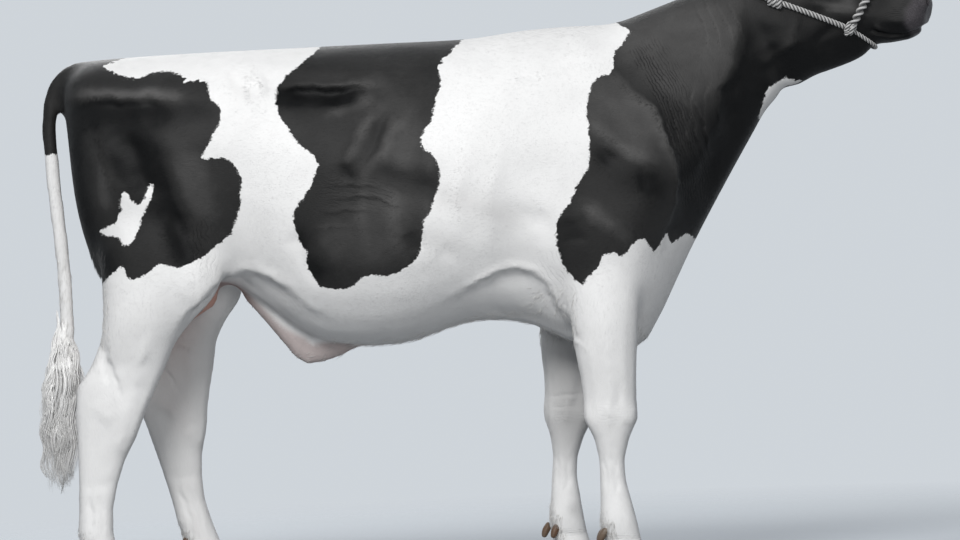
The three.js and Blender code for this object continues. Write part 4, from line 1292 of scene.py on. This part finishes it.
class OBJECT_OT_bull_coat(bpy.types.Operator):
    """Lay the short coat over the skin in small tufts"""

    bl_idname = "object.bull_coat"
    bl_label = "Bull coat"

    def execute(self, context):
        settings = context.scene.bull_coat
        surface = skin_surface()
        material = coat_material("hair_coat", settings)
        x, _, z = surface["centre"].T
        high = z > 0.66
        regions = {
            "coat_hind": (x < TRUNK_HIND) & high,
            "coat_barrel": (x >= TRUNK_HIND) & (x < -0.06),
            "coat_fore": (x >= -0.06) & (x < 0.50) & high,
            "coat_neck": (x >= 0.50) & (x < 0.80) & high,
            "coat_head": (x >= 0.80) & high,
            "coat_legs": ~high & ((x < TRUNK_HIND) | (x >= -0.06)),
        }
        haired = self.haired(surface)
        amounts = {name: (surface["area"] * own).sum() * TUFT_WEIGHT.get(name, 1.0)
                   for name, own in regions.items()}
        random = np.random.default_rng(SEEDS["coat"])
        total = settings.tufts * 1.0
        for name, own in regions.items():
            count = min(int(total * amounts[name] / sum(amounts.values())), MOST_TUFTS)
            places = scattered(surface, count, haired * own, random)
            size = TUFT_SIZE.get(name, 1.0)
            piece = lay_tufts(name, places, settings.hair * size, 0.0014 * size ** 0.7, 0.0005 * size,
                              random, material)
            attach(piece, "root")
        return {"FINISHED"}

    def haired(self, surface):
        """How thickly hair grows on each triangle: none on bare skin and ears, most where the form breaks."""
        marks, verts, centre = surface["values"], surface["verts"], surface["centre"]
        bare = np.max([marks["nose"][verts].max(1), marks["purse"][verts].max(1),
                       0.8 * marks["bareness"][verts].mean(1)], axis=0)
        clear = (nearest(centre, eye_centres()) > 0.034) & (nearest(centre, nostril_centres()) > 0.040)
        by_border = np.abs(marks["blackness"][verts].mean(1)) < 0.010
        share = np.clip(1.0 - 1.1 * bare, 0.0, 1.0) * clear * (centre[:, 2] > 0.055)
        return share * (0.5 + 0.6 * surface["break"] + 0.3 * by_border) * ~in_ear(centre)


# ---------------------------------------------------------------- long hair
FEWEST_LOCKS = 20  # a piece with fewer is left out


def grow_locks(name, paths, radius, tone, uv, material):
    """Long tapered locks along paths (count, rings, 3), each closed, three-sided and pointed."""
    count, rings, _ = paths.shape
    ahead = unit(np.gradient(paths, axis=1))
    helper = np.where(np.abs(ahead[..., :1]) < 0.8, (1.0, 0.0, 0.0), (0.0, 1.0, 0.0))
    first = unit(np.cross(ahead, helper))
    second = np.cross(ahead, first)
    share = np.linspace(0.0, 1.0, rings)
    swell = 0.35 + 0.65 * np.sin(np.pi * np.clip(share * 1.5 + 0.12, 0, 1))
    girth = np.maximum(radius[:, None] * swell * (1 - share ** 3), 0.00012)[..., None]
    sides = [paths + girth * (math.cos(t) * first + math.sin(t) * second) for t in (0.0, 2.0944, 4.1888)]
    co = np.concatenate([np.stack(sides, axis=2).reshape(count, -1, 3), paths[:, :1], paths[:, -1:]], axis=1)
    co = co.reshape(-1, 3)
    per = rings * 3 + 2
    last = (rings - 1) * 3
    faces = []
    for ring in range(rings - 1):
        for k in range(3):
            a, b = ring * 3 + k, ring * 3 + (k + 1) % 3
            faces += [(a, b, b + 3), (a, b + 3, a + 3)]
    for k in range(3):
        faces += [(per - 2, (k + 1) % 3, k), (per - 1, last + k, last + (k + 1) % 3)]
    faces = (np.array(faces) + np.arange(count)[:, None, None] * per).reshape(-1, 3)
    spread = np.stack([share.repeat(3) - 0.5, np.tile([-0.5, 0.0, 0.5], rings)], axis=1)
    spread = np.vstack([spread, (-0.55, 0.0), (0.55, 0.0)]) * 0.0028
    uv = (uv[:, None] + spread).reshape(-1, 2)
    return build_mesh(name, co, outward(co, faces), material, {"tone": np.repeat(tone, per)}, uv)


def nearest_map(surface, points):
    """The map places of the skin's triangles nearest to points."""
    tree = BVHTree.FromPolygons(surface["co"].tolist(), surface["verts"].tolist())
    found = [tree.find_nearest(Vector(p))[2] for p in points]
    return surface["uv"][found].mean(1)


class OBJECT_OT_bull_long_hair(bpy.types.Operator):
    """Hang the tail's switch and grow the longer hair of poll, ears, elbows and belly"""

    bl_idname = "object.bull_long_hair"
    bl_label = "Bull long hair"

    def execute(self, context):
        surface = skin_surface()
        self.hang_switch(surface)
        self.grow_fringes(surface)
        return {"FINISHED"}

    def hang_switch(self, surface):
        """Wavy locks from the tail's lower end, full at hock height and thin at the tip."""
        random = np.random.default_rng(SEEDS["switch"])
        low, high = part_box("tail_switch")
        top = Vector((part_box("tail")[0].x + 0.034, 0.0, high.z + 0.095))
        groups, count, rings = 60, (1900), 17
        member = random.integers(0, groups, count)
        share = np.linspace(0.0, 1.0, rings)
        group_start = random.random(groups) ** 1.1
        start = np.clip(group_start[member] + random.normal(0, 0.04, count), 0.0, 1.0)[:, None]
        turn = (random.uniform(0, 2 * np.pi, groups)[member] + random.normal(0, 0.20, count))[:, None]
        spread = np.sqrt(random.random(groups))[member] + random.normal(0, 0.10, count)
        spread = np.clip(spread, 0, 1.1)[:, None]
        length = random.uniform(0.50, 0.84, groups)[member] + random.normal(0, 0.03, count)
        haired_bone = 0.27  # the stretch of the tail's end from which the locks hang
        z = top.z - start * haired_bone - share * ((high.z - low.z) * length[:, None])
        end = 0.06 * random.random(groups)[member] ** 2 + 0.02 * random.random(count)
        z = np.maximum(z, low.z - 0.006 + end[:, None])
        below = np.clip((top.z - z) / (top.z - low.z), 0.0, 1.0)
        full = np.interp(below, [0.0, 0.10, 0.22, 0.40, 0.65, 0.85, 1.0],
                         [0.015, 0.017, 0.030, 0.049, 0.050, 0.044, 0.026])
        line = top.x - np.interp(below, [0.10, 0.30, 0.55, 0.8, 1.0], [0.0, 0.004, 0.014, 0.024, 0.026])
        phase = random.uniform(0, 2 * np.pi, groups)[member][:, None]
        beat = random.uniform(38, 66, groups)[member][:, None]
        fall = below - below[:, :1]
        wave = 0.0066 * np.sin((top.z - z) * beat + phase) * ramp(fall, 0.0, 0.12)
        out = 0.0185 * ramp(z, high.z - 0.040, high.z - 0.010)  # round the tail's lower end
        out = np.maximum(spread * full * (1.0 + 0.30 * fall), out)
        x = line + out * np.cos(turn) + wave
        y = out * (0.72 + 0.28 * ramp(z, high.z - 0.060, high.z)) * np.sin(turn) + wave * np.cos(phase * 3)
        paths = np.stack([x, y, z], axis=2)
        colours = ((0.90, 0.895, 0.885), (0.97, 0.965, 0.955))
        material = lock_material("switch_hair", colours, (0.82, 0.81, 0.79))
        tone = np.clip(random.random(groups)[member] + random.normal(0, 0.25, count), 0, 1)
        piece = grow_locks("switch_hair", paths, random.uniform(0.0009, 0.0019, count), tone,
                           nearest_map(surface, paths[:, 0]), material)
        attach(piece, "root")
        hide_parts("tail_switch")

    def grow_fringes(self, surface):
        """Longer hair in its places: how many locks, how long, where, and how far they stand up."""
        random = np.random.default_rng(SEEDS["fringes"])
        centre = surface["centre"]
        x, y, z = centre.T
        out_y = np.abs(y)
        facing = surface["normals"][surface["verts"]].mean(1)
        zones = (
            ("poll_hair", 2400, 0.034, 0.34, between(x, 0.700, 0.87) & (out_y < 0.07) & (z > 1.64)
             & (facing[:, 2] > 0.4)),
            ("ear_hair", 4600, 0.013, 0.45, in_ear(centre)),
            ("elbow_hair", 420, 0.030, 0.16, between(x, 0.10, 0.24) & between(z, 0.68, 0.84)
             & (out_y > 0.12)),
            ("belly_hair", 900, 0.028, 0.25, between(x, -0.45, 0.45) & (out_y < 0.12) & (z < 0.80)
             & (facing[:, 2] < -0.6)),
            ("ham_hair", 620, 0.026, 0.16, (x < -1.07) & between(z, 0.72, 1.0)),
            ("sheath_hair", 60, 0.016, 0.30, between(x, -0.56, -0.47) & (out_y < 0.04) & (z < 0.685)),
            ("heel_hair", 900, 0.026, 0.30, between(z, 0.10, 0.185) & (facing[:, 0] < -0.2)),
            ("pastern_hair", 1400, 0.016, 0.30, (z < 0.105) | (z < 0.22) & (facing[:, 0] < -0.5)),
        )
        dark = lock_material("dark_locks", ((0.014, 0.0135, 0.013), (0.042, 0.039, 0.037)),
                             (0.020, 0.018, 0.017))
        pale = lock_material("pale_locks", ((0.62, 0.61, 0.59), (0.82, 0.81, 0.79)), (0.66, 0.64, 0.61))
        for name, count, length, rise, own in zones:
            on_ear = name == "ear_hair"
            places = scattered(surface, int(count * (1.0)), own.astype(float), random)
            root, normal = places["co"], places["normal"]
            lay = hair_lay(root, normal)
            if on_ear:
                lay = unit(0.4 * lay + np.sign(root[:, 1:2]) * (0.0, 1.0, 0.0))
            across = np.cross(normal, lay)
            share = np.linspace(0.0, 1.0, 5)[None, :, None]
            reach = (length * random.uniform(0.6, 1.15, len(lay)))[:, None, None]
            bend = random.normal(0, 0.55 if name == "poll_hair" else 0.22, len(lay))[:, None, None]
            paths = (root[:, None] - normal[:, None] * 0.001 + reach * share * lay[:, None]
                     + reach * bend * share ** 2 * across[:, None]
                     + reach * rise * np.sin(share * 2.2) * 0.8 * normal[:, None])
            black = places["values"]["blackness"] > 0
            for kind, own_hair, material in (("dark", black, dark), ("pale", ~black, pale)):
                amount = own_hair.sum()
                if amount < FEWEST_LOCKS:
                    continue
                thick = (0.6 if on_ear else 1.0) * random.uniform(0.0004, 0.0008, amount)
                piece = grow_locks(f"{name}_{kind}", paths[own_hair], thick, random.random(amount),
                                   places["uv"][own_hair], material)
                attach(piece, "root")


# ---------------------------------------------------------------- eyes
class OBJECT_OT_bull_eyes(bpy.types.Operator):
    """Set dark wet eyes with wide pupils into the lids, with lashes"""

    bl_idname = "object.bull_eyes"
    bl_label = "Bull eyes"

    def execute(self, context):
        material = self.eye_material()
        lash = lock_material("lashes", ((0.008, 0.008, 0.008), (0.02, 0.02, 0.02)), (0.012, 0.012, 0.012))
        random = np.random.default_rng(SEEDS["lashes"])
        for side in SIDES:
            centre, axis, front, up = eye_frame(side)
            deselect()
            bpy.ops.mesh.primitive_uv_sphere_add(segments=48, ring_count=32, radius=EYE_RADIUS - 0.0012,
                                                 location=Vector(centre))
            eye = bpy.context.active_object
            eye.name = f"eyeball_{side}"
            bpy.ops.object.transform_apply(location=True, rotation=True, scale=True)
            co = points_of(eye)
            away = co - centre
            cornea = 0.0017 * ramp(unit(away) @ axis, 0.76, 0.95)
            move_points(eye, co + axis * cornea[:, None])
            flat = np.stack([away @ front, away @ up], axis=1) / EYE_RADIUS
            ahead = away @ axis > 0
            from_pupil = np.linalg.norm(flat / (0.42, 0.17), axis=1)
            set_values(eye.data, "from_axis", np.where(ahead, np.linalg.norm(flat, axis=1), 2.0))
            set_values(eye.data, "from_pupil", np.where(ahead, from_pupil, 5.0))
            eye.data.shade_smooth()
            eye.data.materials.append(material)
            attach(eye, "root")
            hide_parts(f"eye_{side}")
            lashes = self.grow_lashes(side, random, lash)
            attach(lashes, "root")
        return {"FINISHED"}

    def grow_lashes(self, side, random, material):
        """Lashes along the upper lid, which curve upwards."""
        count = 150
        centre, axis, front, up = eye_frame(side)
        turn = random.uniform(0.12 * np.pi, 0.88 * np.pi, count)
        along = EYE_OPENING[0] * np.sign(np.cos(turn)) * np.abs(np.cos(turn)) ** 1.25
        high = EYE_OPENING[1] * np.sin(turn) ** 1.25 + random.uniform(0.0, 0.0012, count)
        out = np.sqrt(np.maximum((EYE_RADIUS + 0.0018) ** 2 - np.hypot(along, high) ** 2, 0))
        root = centre + along[:, None] * front + high[:, None] * up + out[:, None] * axis
        way = unit(0.85 * axis + 0.40 * (along / 0.019)[:, None] * front - 0.36 * up
                   + random.normal(0, 0.10, (count, 3)))
        share = np.linspace(0, 1, 5)[None, :, None]
        reach = random.uniform(0.014, 0.025, count)[:, None, None]
        paths = root[:, None] + reach * share * way[:, None] + reach * 0.42 * share ** 2 * (up - 0.3 * axis)
        return grow_locks(f"lashes_{side}", paths, np.full(count, 0.00035), random.random(count),
                          np.full((count, 2), 0.5), material)

    def eye_material(self):
        """Almost black iris, wide dark pupil and a thin rim of white, under a wet cornea."""
        material, tree, principled, place = shader_material("eye")
        fibres = noise(tree, place, 900.0, 3.0)
        iris = blended(tree, fibres, (0.006, 0.0032, 0.0018, 1), (0.024, 0.011, 0.005, 1))
        white = blended(tree, noise(tree, place, 220.0, 3.0), (0.16, 0.12, 0.10, 1), (0.05, 0.032, 0.026, 1))
        iris_size = 0.80  # against the eyeball
        edge = scaled(tree, value_of(tree, "from_axis"), 12.0, -12.0 * iris_size, clamp=True)
        pupil = scaled(tree, value_of(tree, "from_pupil"), 5.0, -4.4, clamp=True)
        feed(tree, principled, {
            "Base Color": blended(tree, pupil, (0.0015, 0.0018, 0.003, 1), blended(tree, edge, iris, white)),
            "Roughness": 0.04,
            "Specular IOR Level": 0.28,
        })
        return material


# ---------------------------------------------------------------- feet
class OBJECT_OT_bull_feet(bpy.types.Operator):
    """Round the claws and dewclaws and give them horn with growth rings"""

    bl_idname = "object.bull_feet"
    bl_label = "Bull feet"

    def execute(self, context):
        claw = self.horn_material("horn", (0.038, 0.029, 0.022, 1), (0.15, 0.112, 0.078, 1), 0.20)
        dewclaw = self.horn_material("dewclaw_horn", (0.020, 0.009, 0.005, 1), (0.17, 0.080, 0.036, 1), 0.14)
        for leg in LEGS:
            for kind, material in (("claw", claw), ("dewclaw", dewclaw)):
                names = [f"{kind}_{leg}_{place}" for place in ("outer", "inner")]
                piece = joined([self.rounded(name, kind) for name in names], f"{kind}s_{leg}")
                if (kind, leg) == ("dewclaw", "fore_left"):
                    self.turn_out(piece, 0.5)
                piece.data.materials.clear()
                piece.data.materials.append(material)
                piece.data.shade_smooth()
                if kind == "claw":
                    make_active(piece)
                    bpy.ops.object.shade_smooth_by_angle(angle=math.radians(50))
                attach(piece, "root")
                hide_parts(*names)
        return {"FINISHED"}

    def turn_out(self, piece, angle):
        """Turns a pair of dewclaws round its pastern, as on a foot that points outwards."""
        co = points_of(piece)
        skin = points_of(bpy.data.objects["skin"])
        near = np.linalg.norm(skin - co.mean(0) - (0.03, 0.0, 0.0), axis=1) < 0.06
        axis = skin[near].mean(0) * (1, 1, 0)
        turn = np.array(Matrix.Rotation(angle, 3, "Z"))
        move_points(piece, (co - axis) @ turn.T + axis)

    def rounded(self, name, kind):
        """One claw or dewclaw, rounded from its faceted solid; a claw keeps a flat sole and has rings."""
        shell = copied_node(name)
        in_edit_mode(shell, bpy.ops.mesh.tris_convert_to_quads)
        work = bmesh.new()
        work.from_mesh(shell.data)
        crease = work.edges.layers.float.new("crease_edge")
        for edge in work.edges:
            if all(v.co.z < 0.0005 for v in edge.verts):
                edge[crease] = 0.95
        work.to_mesh(shell.data)
        work.free()
        apply_modifier(shell, "SUBSURF", levels=3, render_levels=3)
        co, _, normals = mesh_data(shell)
        centre = (co.min(0) + co.max(0)) / 2
        if kind == "claw":
            x, _, z = co.T
            sole = z < 0.0006
            lift = z + 0.22 * (x - centre[0])
            rings = 0.0007 * np.sin(lift * 520.0 + 1.3 * np.sin(lift * 90.0)) * ramp(z, 0.004, 0.02)
            band = -0.0016 * bell(z - z.max() + 0.020, 0.008)
            co += normals * ((rings + band) * ~sole)[:, None]
            co[sole, 2] = 0.0
            co[:, 2] = np.maximum(co[:, 2], 0.0)
        else:
            co = centre + (co - centre) * (1.12, 1.12, 1.06)
        move_points(shell, co)
        return shell

    def horn_material(self, name, dark, pale, dust):
        """Amber and grey-brown horn, streaked down and ringed across."""
        material, tree, principled, place = shader_material(name)
        streaks = noise(tree, stretched(tree, place, (0, 0.5, 0), (240.0, 240.0, 22.0)), 1.0, 4.0, 0.6)
        clouds = scaled(tree, noise(tree, place, 26.0, 3.0), 1.8, -0.6, clamp=True)
        height = node(tree, "ShaderNodeSeparateXYZ", {"Vector": place}).outputs["Z"]
        rings = maths(tree, "SINE", maths(tree, "MULTIPLY", height, 900.0))
        colour = blended(tree, clouds, blended(tree, streaks, dark, pale), (dust, dust * 0.8, dust * 0.56, 1))
        dusty = scaled(tree, height, -34.0, 0.75, clamp=True)
        relief_height = maths(tree, "ADD", streaks, maths(tree, "MULTIPLY", rings, 0.25))
        feed(tree, principled, {
            "Base Color": blended(tree, dusty, colour, (0.30, 0.26, 0.21, 1)),
            "Roughness": scaled(tree, streaks, 0.25, 0.38),
            "Normal": bumped(tree, relief_height, 0.5, 0.0008),
        })
        return material


# ---------------------------------------------------------------- halter
def twisted_rope(line, radius, pitch, strands, ring=8):
    """A laid rope's points and faces, closed at both ends, and how far out each point lies on its strand."""
    line = np.asarray(line, float)
    steps = np.r_[0.0, np.cumsum(np.linalg.norm(np.diff(line, axis=0), axis=1))]
    count = max(int(steps[-1] / 0.0026), 8)
    along = np.linspace(0.0, steps[-1], count)
    path = np.stack([np.interp(along, steps, line[:, k]) for k in range(3)], axis=1)
    for _ in range(6):
        path = smoothed(path)
    ahead = unit(np.gradient(path, axis=0))
    side = [unit(np.cross(ahead[0], (0.31, 0.17, 0.93)))]
    for tangent in ahead[1:]:
        side.append(unit(side[-1] - tangent * (side[-1] @ tangent)))
    side = np.array(side)
    other = np.cross(ahead, side)
    inner = radius * 0.52
    thick = radius * (0.50 if strands == 3 else 0.54)
    taper = thick * np.minimum(1.0, 0.35 + 0.65 * np.minimum(along, along[-1] - along) / 0.004)
    k = np.arange(ring)
    following = (k + 1) % ring
    angles = k * 2 * np.pi / ring
    co, faces, round_strand = [], [], []
    for strand in range(strands):
        turn = 2 * np.pi * (along / pitch + strand / strands)
        core = path + inner * (np.cos(turn)[:, None] * side + np.sin(turn)[:, None] * other)
        out = unit(core - path)
        wide = unit(np.cross(ahead, out))
        tube = core[:, None] + taper[:, None, None] * (np.cos(angles)[None, :, None] * out[:, None]
                                                       + np.sin(angles)[None, :, None] * wide[:, None])
        co += [tube.reshape(-1, 3), core[[0, -1]]]
        base = strand * (count * ring + 2)
        last = base + (count - 1) * ring
        start = last + ring
        grid = base + np.arange(count - 1)[:, None] * ring
        a, b = grid + k, grid + following
        faces += [
            np.stack([a, b, b + ring], axis=2).reshape(-1, 3),
            np.stack([a, b + ring, a + ring], axis=2).reshape(-1, 3),
            np.stack([np.full(ring, start), base + following, base + k], axis=1),
            np.stack([np.full(ring, start + 1), last + k, last + following], axis=1),
        ]
        round_strand.append(np.r_[np.tile(np.cos(angles), count), 0.0, 0.0])
    return np.vstack(co), np.vstack(faces), np.concatenate(round_strand)


class OBJECT_OT_bull_halter(bpy.types.Operator):
    """Lay the twisted rope halter round the muzzle and behind the ears, with its eyes and wraps"""

    bl_idname = "object.bull_halter"
    bl_label = "Bull halter"

    def execute(self, context):
        settings = context.scene.bull_halter
        material = self.rope_material(settings)
        skin = bpy.data.objects["skin"]
        co = points_of(skin)
        ear = in_ear(co, 0.118, 0.70)
        polygons = [tuple(p.vertices) for p in skin.data.polygons]
        self.surface = BVHTree.FromPolygons(co.tolist(), [p for p in polygons if not ear[list(p)].any()])
        radius, pitch = settings.radius, settings.pitch
        knots = {side: middle_of("halter_knot_" + side) + Vector((-0.021, 0.0, -0.006)) for side in SIDES}
        x, z = knots["right"].x, knots["right"].z
        nose, chin = radius * 1.4, radius * 0.72
        self.rope("rope_nose", [self.around((x, z), (x + 0.049, z + 0.081), 0.0, nose)], nose, pitch * 1.1, 2,
                  material, "halter_nose")
        self.rope("rope_chin", [self.around((x, z), (x + 0.069, z - 0.046), 0.0, chin)], chin, pitch, 3,
                  material, "halter_chin")
        headstall = self.around((x - 0.192, z + 0.0774), (x - 0.384, z + 0.1548), -1.17, radius)
        lines = [headstall, *self.sliders(headstall, x - 0.212, radius)]
        self.rope("rope_headstall", lines, radius, pitch, 3, material, "halter_headstall")
        for side, place in knots.items():
            lines = self.knot_lines(place, SIDES[side], radius)
            self.rope(f"rope_knot_{side}", lines, radius * 0.85, pitch, 3, material, f"halter_knot_{side}")
        return {"FINISHED"}

    def sliders(self, line, x, radius):
        """Three turns of rope over the headstall on each side, where its length is set."""
        turns = []
        for side in SIDES.values():
            own = np.where(line[:, 1] * side > 0.05, np.abs(line[:, 0] - x), np.inf)
            at = int(np.argmin(own))
            ahead = unit(line[at + 1] - line[at - 1])
            out = unit(np.array([0.0, side, 0.0]) - ahead * ahead[1] * side)
            across = np.cross(ahead, out)
            bend = np.linspace(-1.9, 1.9, 22)[:, None]
            turn = radius * (1.55 * (np.cos(bend) * out + np.sin(bend) * across) - 0.2 * out)
            for shift in (-0.013, 0.0, 0.013):
                turns.append(line[at] + ahead * (shift + 0.004 * bend / 1.9) + turn)
        return turns

    def around(self, centre, toward, first, lift):
        """The rope's line over the skin, from the right side to the left, in a slanting plane."""
        bearing = math.atan2(toward[1] - centre[1], toward[0] - centre[0])
        middle = Vector((centre[0], 0.0, centre[1]))
        line = []
        for angle in np.linspace(first, math.pi - first, 90):
            away = Vector((math.cos(bearing) * math.sin(angle), -math.cos(angle),
                           math.sin(bearing) * math.sin(angle)))
            hit = self.surface.ray_cast(middle + away * 0.30, -away, 0.30)[0]
            if hit is None:
                hit = middle + away * 0.1
            line.append(np.array(hit + away * (lift + 0.0008)))
        middle = np.array(middle)
        line = np.array(line)
        reach = np.linalg.norm(line - middle, axis=1)
        for _ in range(12):
            reach[1:-1] = np.maximum(reach[1:-1], (reach[:-2] + reach[2:]) / 2)
        line = middle + unit(line - middle) * reach[:, None]
        for _ in range(3):
            line = smoothed(line)
        return line

    def knot_lines(self, place, side, radius):
        """The eye at the side of the face: two turns round the ropes and a short end."""
        hit = self.surface.ray_cast(Vector((place.x, side * 0.3, place.z)), Vector((0, -side, 0)))[0]
        centre = np.array(hit) + (0.0, side * (radius * 1.5 + 0.001), 0.0)
        tilt = 0.55
        up = np.array([math.sin(tilt), 0.0, math.cos(tilt)])
        ahead = np.array([math.cos(tilt), 0.0, -math.sin(tilt)])
        out = np.array((0.0, side, 0.0))
        turn = np.linspace(0.0, 2 * np.pi * 0.97, 34)[:, None]
        loops = [centre + ahead * (shift + radius * 0.45 * (turn / np.pi - 1.0))
                 + np.cos(turn) * up * radius * 1.5 + np.sin(turn) * out * radius * 1.2
                 for shift in (-0.008, 0.006)]
        share = np.linspace(0.0, 1.0, 10)[:, None]
        end = centre + (-0.004, side * 0.003, -0.006) + share * (-0.012, side * -0.003, -0.012)
        return [*loops, end]

    def rope(self, name, lines, radius, pitch, strands, material, replaced):
        """One piece of rope along one or more lines."""
        co, faces, outside = [], [], []
        for line in lines:
            piece, own, place = twisted_rope(line, radius, pitch, strands)
            faces.append(own + sum(len(c) for c in co))
            co.append(piece)
            outside.append(place)
        values = {"outside": np.concatenate(outside)}
        obj = build_mesh(name, np.vstack(co), np.vstack(faces), material, values)
        in_edit_mode(obj, bpy.ops.mesh.normals_make_consistent, inside=False)
        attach(obj, "root")
        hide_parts(replaced)

    def rope_material(self, settings):
        """Twisted, mottled yarn, pale on the strands' crowns and with painted shade between them."""
        material, tree, principled, place = shader_material("rope")
        yarn = noise(tree, place, 620.0, 2.0)
        # Painted shade: the inner sides of the strands take the dark colour.
        crown = scaled(tree, value_of(tree, "outside"), 1.30, -0.02, clamp=True)
        colour = blended(tree, crown, tint(settings.dark), tint(settings.pale))
        feed(tree, principled, {
            "Base Color": blended(tree, maths(tree, "MULTIPLY", yarn, 0.5), colour, tint(settings.pale, 0.5)),
            "Roughness": 0.72,
            "Sheen Weight": 0.2,
            "Normal": bumped(tree, yarn, 0.6, 0.0006),
        })
        return material


# ---------------------------------------------------------------- stage
class SCENE_OT_bull_stage(bpy.types.Operator):
    """Set the floor, backdrop, lamps and camera"""

    bl_idname = "scene.bull_stage"
    bl_label = "Bull stage"

    def execute(self, context):
        settings = context.scene.bull_stage
        self.backdrop(context.scene, settings)
        self.floor(settings)
        self.lamp("Key", (-1.4, -5.6, 4.6), (0.0, 0.0, 1.05), 2.4, settings.key)
        self.lamp("Front", (1.5, -7.5, 1.4), (0.2, 0.0, 0.9), 3.0, settings.key * 0.30)
        self.lamp("Far", (-2.0, 5.0, 4.5), (0.0, 0.0, 1.0), 3.5, settings.key * 0.5)
        self.camera(context.scene, settings)
        return {"FINISHED"}

    def backdrop(self, scene, settings):
        """A pale backdrop that throws a weak cool light."""
        world = scene.world or bpy.data.worlds.new("studio")
        scene.world = world
        world.use_nodes = True
        tree = world.node_tree
        tree.nodes.clear()
        light = node(tree, "ShaderNodeBackground", {"Color": (0.90, 0.94, 1.0, 1), "Strength": 0.28})
        shown = node(tree, "ShaderNodeBackground", {"Color": tint(settings.floor), "Strength": 1.0})
        mixed(tree, self.seen_directly(tree), light, shown, tree.nodes.new("ShaderNodeOutputWorld"))

    def seen_directly(self, tree):
        """1 where a ray shows the backdrop itself, 0 where it only gathers light from it."""
        rays = node(tree, "ShaderNodeLightPath").outputs
        shown = maths(tree, "MAXIMUM", rays["Is Camera Ray"], rays["Is Transmission Ray"])
        return maths(tree, "MAXIMUM", shown, rays["Is Glossy Ray"])

    def floor(self, settings):
        """A pale floor that throws little light back up, and fades into the backdrop away from the bull."""
        deselect()
        bpy.ops.mesh.primitive_circle_add(vertices=96, radius=9.0, fill_type="NGON")
        floor = bpy.context.active_object
        floor.name = "floor"
        floor.data.transform(Matrix.Translation((0.0, 0.0, -0.0006)))
        material, tree, principled, place = shader_material("floor")
        reach = node(tree, "ShaderNodeVectorMath", {0: place}, operation="LENGTH").outputs["Value"]
        start, stretch = 1.9, 2.8  # where the floor begins to fade, and over what distance
        gone = scaled(tree, reach, 1 / stretch, -start / stretch, clamp=True)
        colour = blended(tree, self.seen_directly(tree), tint(settings.floor, 0.30), tint(settings.floor))
        feed(tree, principled, {"Base Color": colour, "Roughness": 0.9})
        output = next(n for n in tree.nodes if n.type == "OUTPUT_MATERIAL")
        mixed(tree, gone, principled, tree.nodes.new("ShaderNodeBsdfTransparent"), output)
        floor.data.materials.append(material)

    def lamp(self, name, place, target, size, power):
        light = bpy.data.lights.new(name, "AREA")
        light.shape = "DISK"
        light.size = size
        light.energy = power
        lamp = bpy.data.objects.new(name, light)
        lamp.location = place
        lamp.rotation_euler = (Vector(target) - Vector(place)).to_track_quat("-Z", "Y").to_euler()
        bpy.context.scene.collection.objects.link(lamp)

    def camera(self, scene, settings):
        """Square to the bull's right side, rolled a little, and close in on the body."""
        data = bpy.data.cameras.new("camera")
        view_width = 2.736  # metres that the picture takes in at the bull's middle
        data.sensor_width = 36.0
        data.lens = data.sensor_width * settings.distance / view_width
        camera = bpy.data.objects.new("camera", data)
        roll = math.radians(2.4)
        right = Vector((math.cos(roll), 0.0, -math.sin(roll)))
        up = Vector((math.sin(roll), 0.0, math.cos(roll)))
        turn = Matrix((right, up, right.cross(up))).transposed()
        middle = middle_of("eye_right").x - 0.943
        place = Vector((middle - 0.023, -settings.distance, 0.895))
        camera.matrix_world = Matrix.Translation(place) @ turn.to_4x4()
        scene.collection.objects.link(camera)
        scene.camera = camera
        scene.view_settings.view_transform = "Standard"


class VIEW3D_PT_bull(bpy.types.Panel):
    """The bull's pieces, in the order in which they are made"""

    bl_label = "Holstein Bull"
    bl_idname = "VIEW3D_PT_bull"
    bl_space_type = "VIEW_3D"
    bl_region_type = "UI"
    bl_category = "Bull"

    def draw(self, context):
        for step in STEPS:
            self.layout.operator(step.bl_idname)
        for name in SETTINGS:
            group_settings = getattr(context.scene, name)
            box = self.layout.box()
            for key in group_settings.bl_rna.properties.keys():
                if key not in ("rna_type", "name"):
                    box.prop(group_settings, key)


STEPS = (SCENE_OT_bull_stage, OBJECT_OT_bull_skin, OBJECT_OT_bull_coat, OBJECT_OT_bull_long_hair,
         OBJECT_OT_bull_eyes, OBJECT_OT_bull_feet, OBJECT_OT_bull_halter)
SETTINGS = {"bull_coat": BullCoatSettings, "bull_halter": BullHalterSettings, "bull_stage": BullStageSettings}
CLASSES = (*SETTINGS.values(), *STEPS, VIEW3D_PT_bull)


def register():
    for cls in CLASSES:
        bpy.utils.register_class(cls)
    for name, settings in SETTINGS.items():
        setattr(bpy.types.Scene, name, PointerProperty(type=settings))


def unregister():
    for name in SETTINGS:
        delattr(bpy.types.Scene, name)
    for cls in reversed(CLASSES):
        bpy.utils.unregister_class(cls)


def main():
    register()
    hair_grain_group()
    patch_edge_group()
    wrinkle_group()
    for step in STEPS:
        area, call = step.bl_idname.split(".")
        getattr(getattr(bpy.ops, area), call)()


if __name__ == "__main__":
    main()
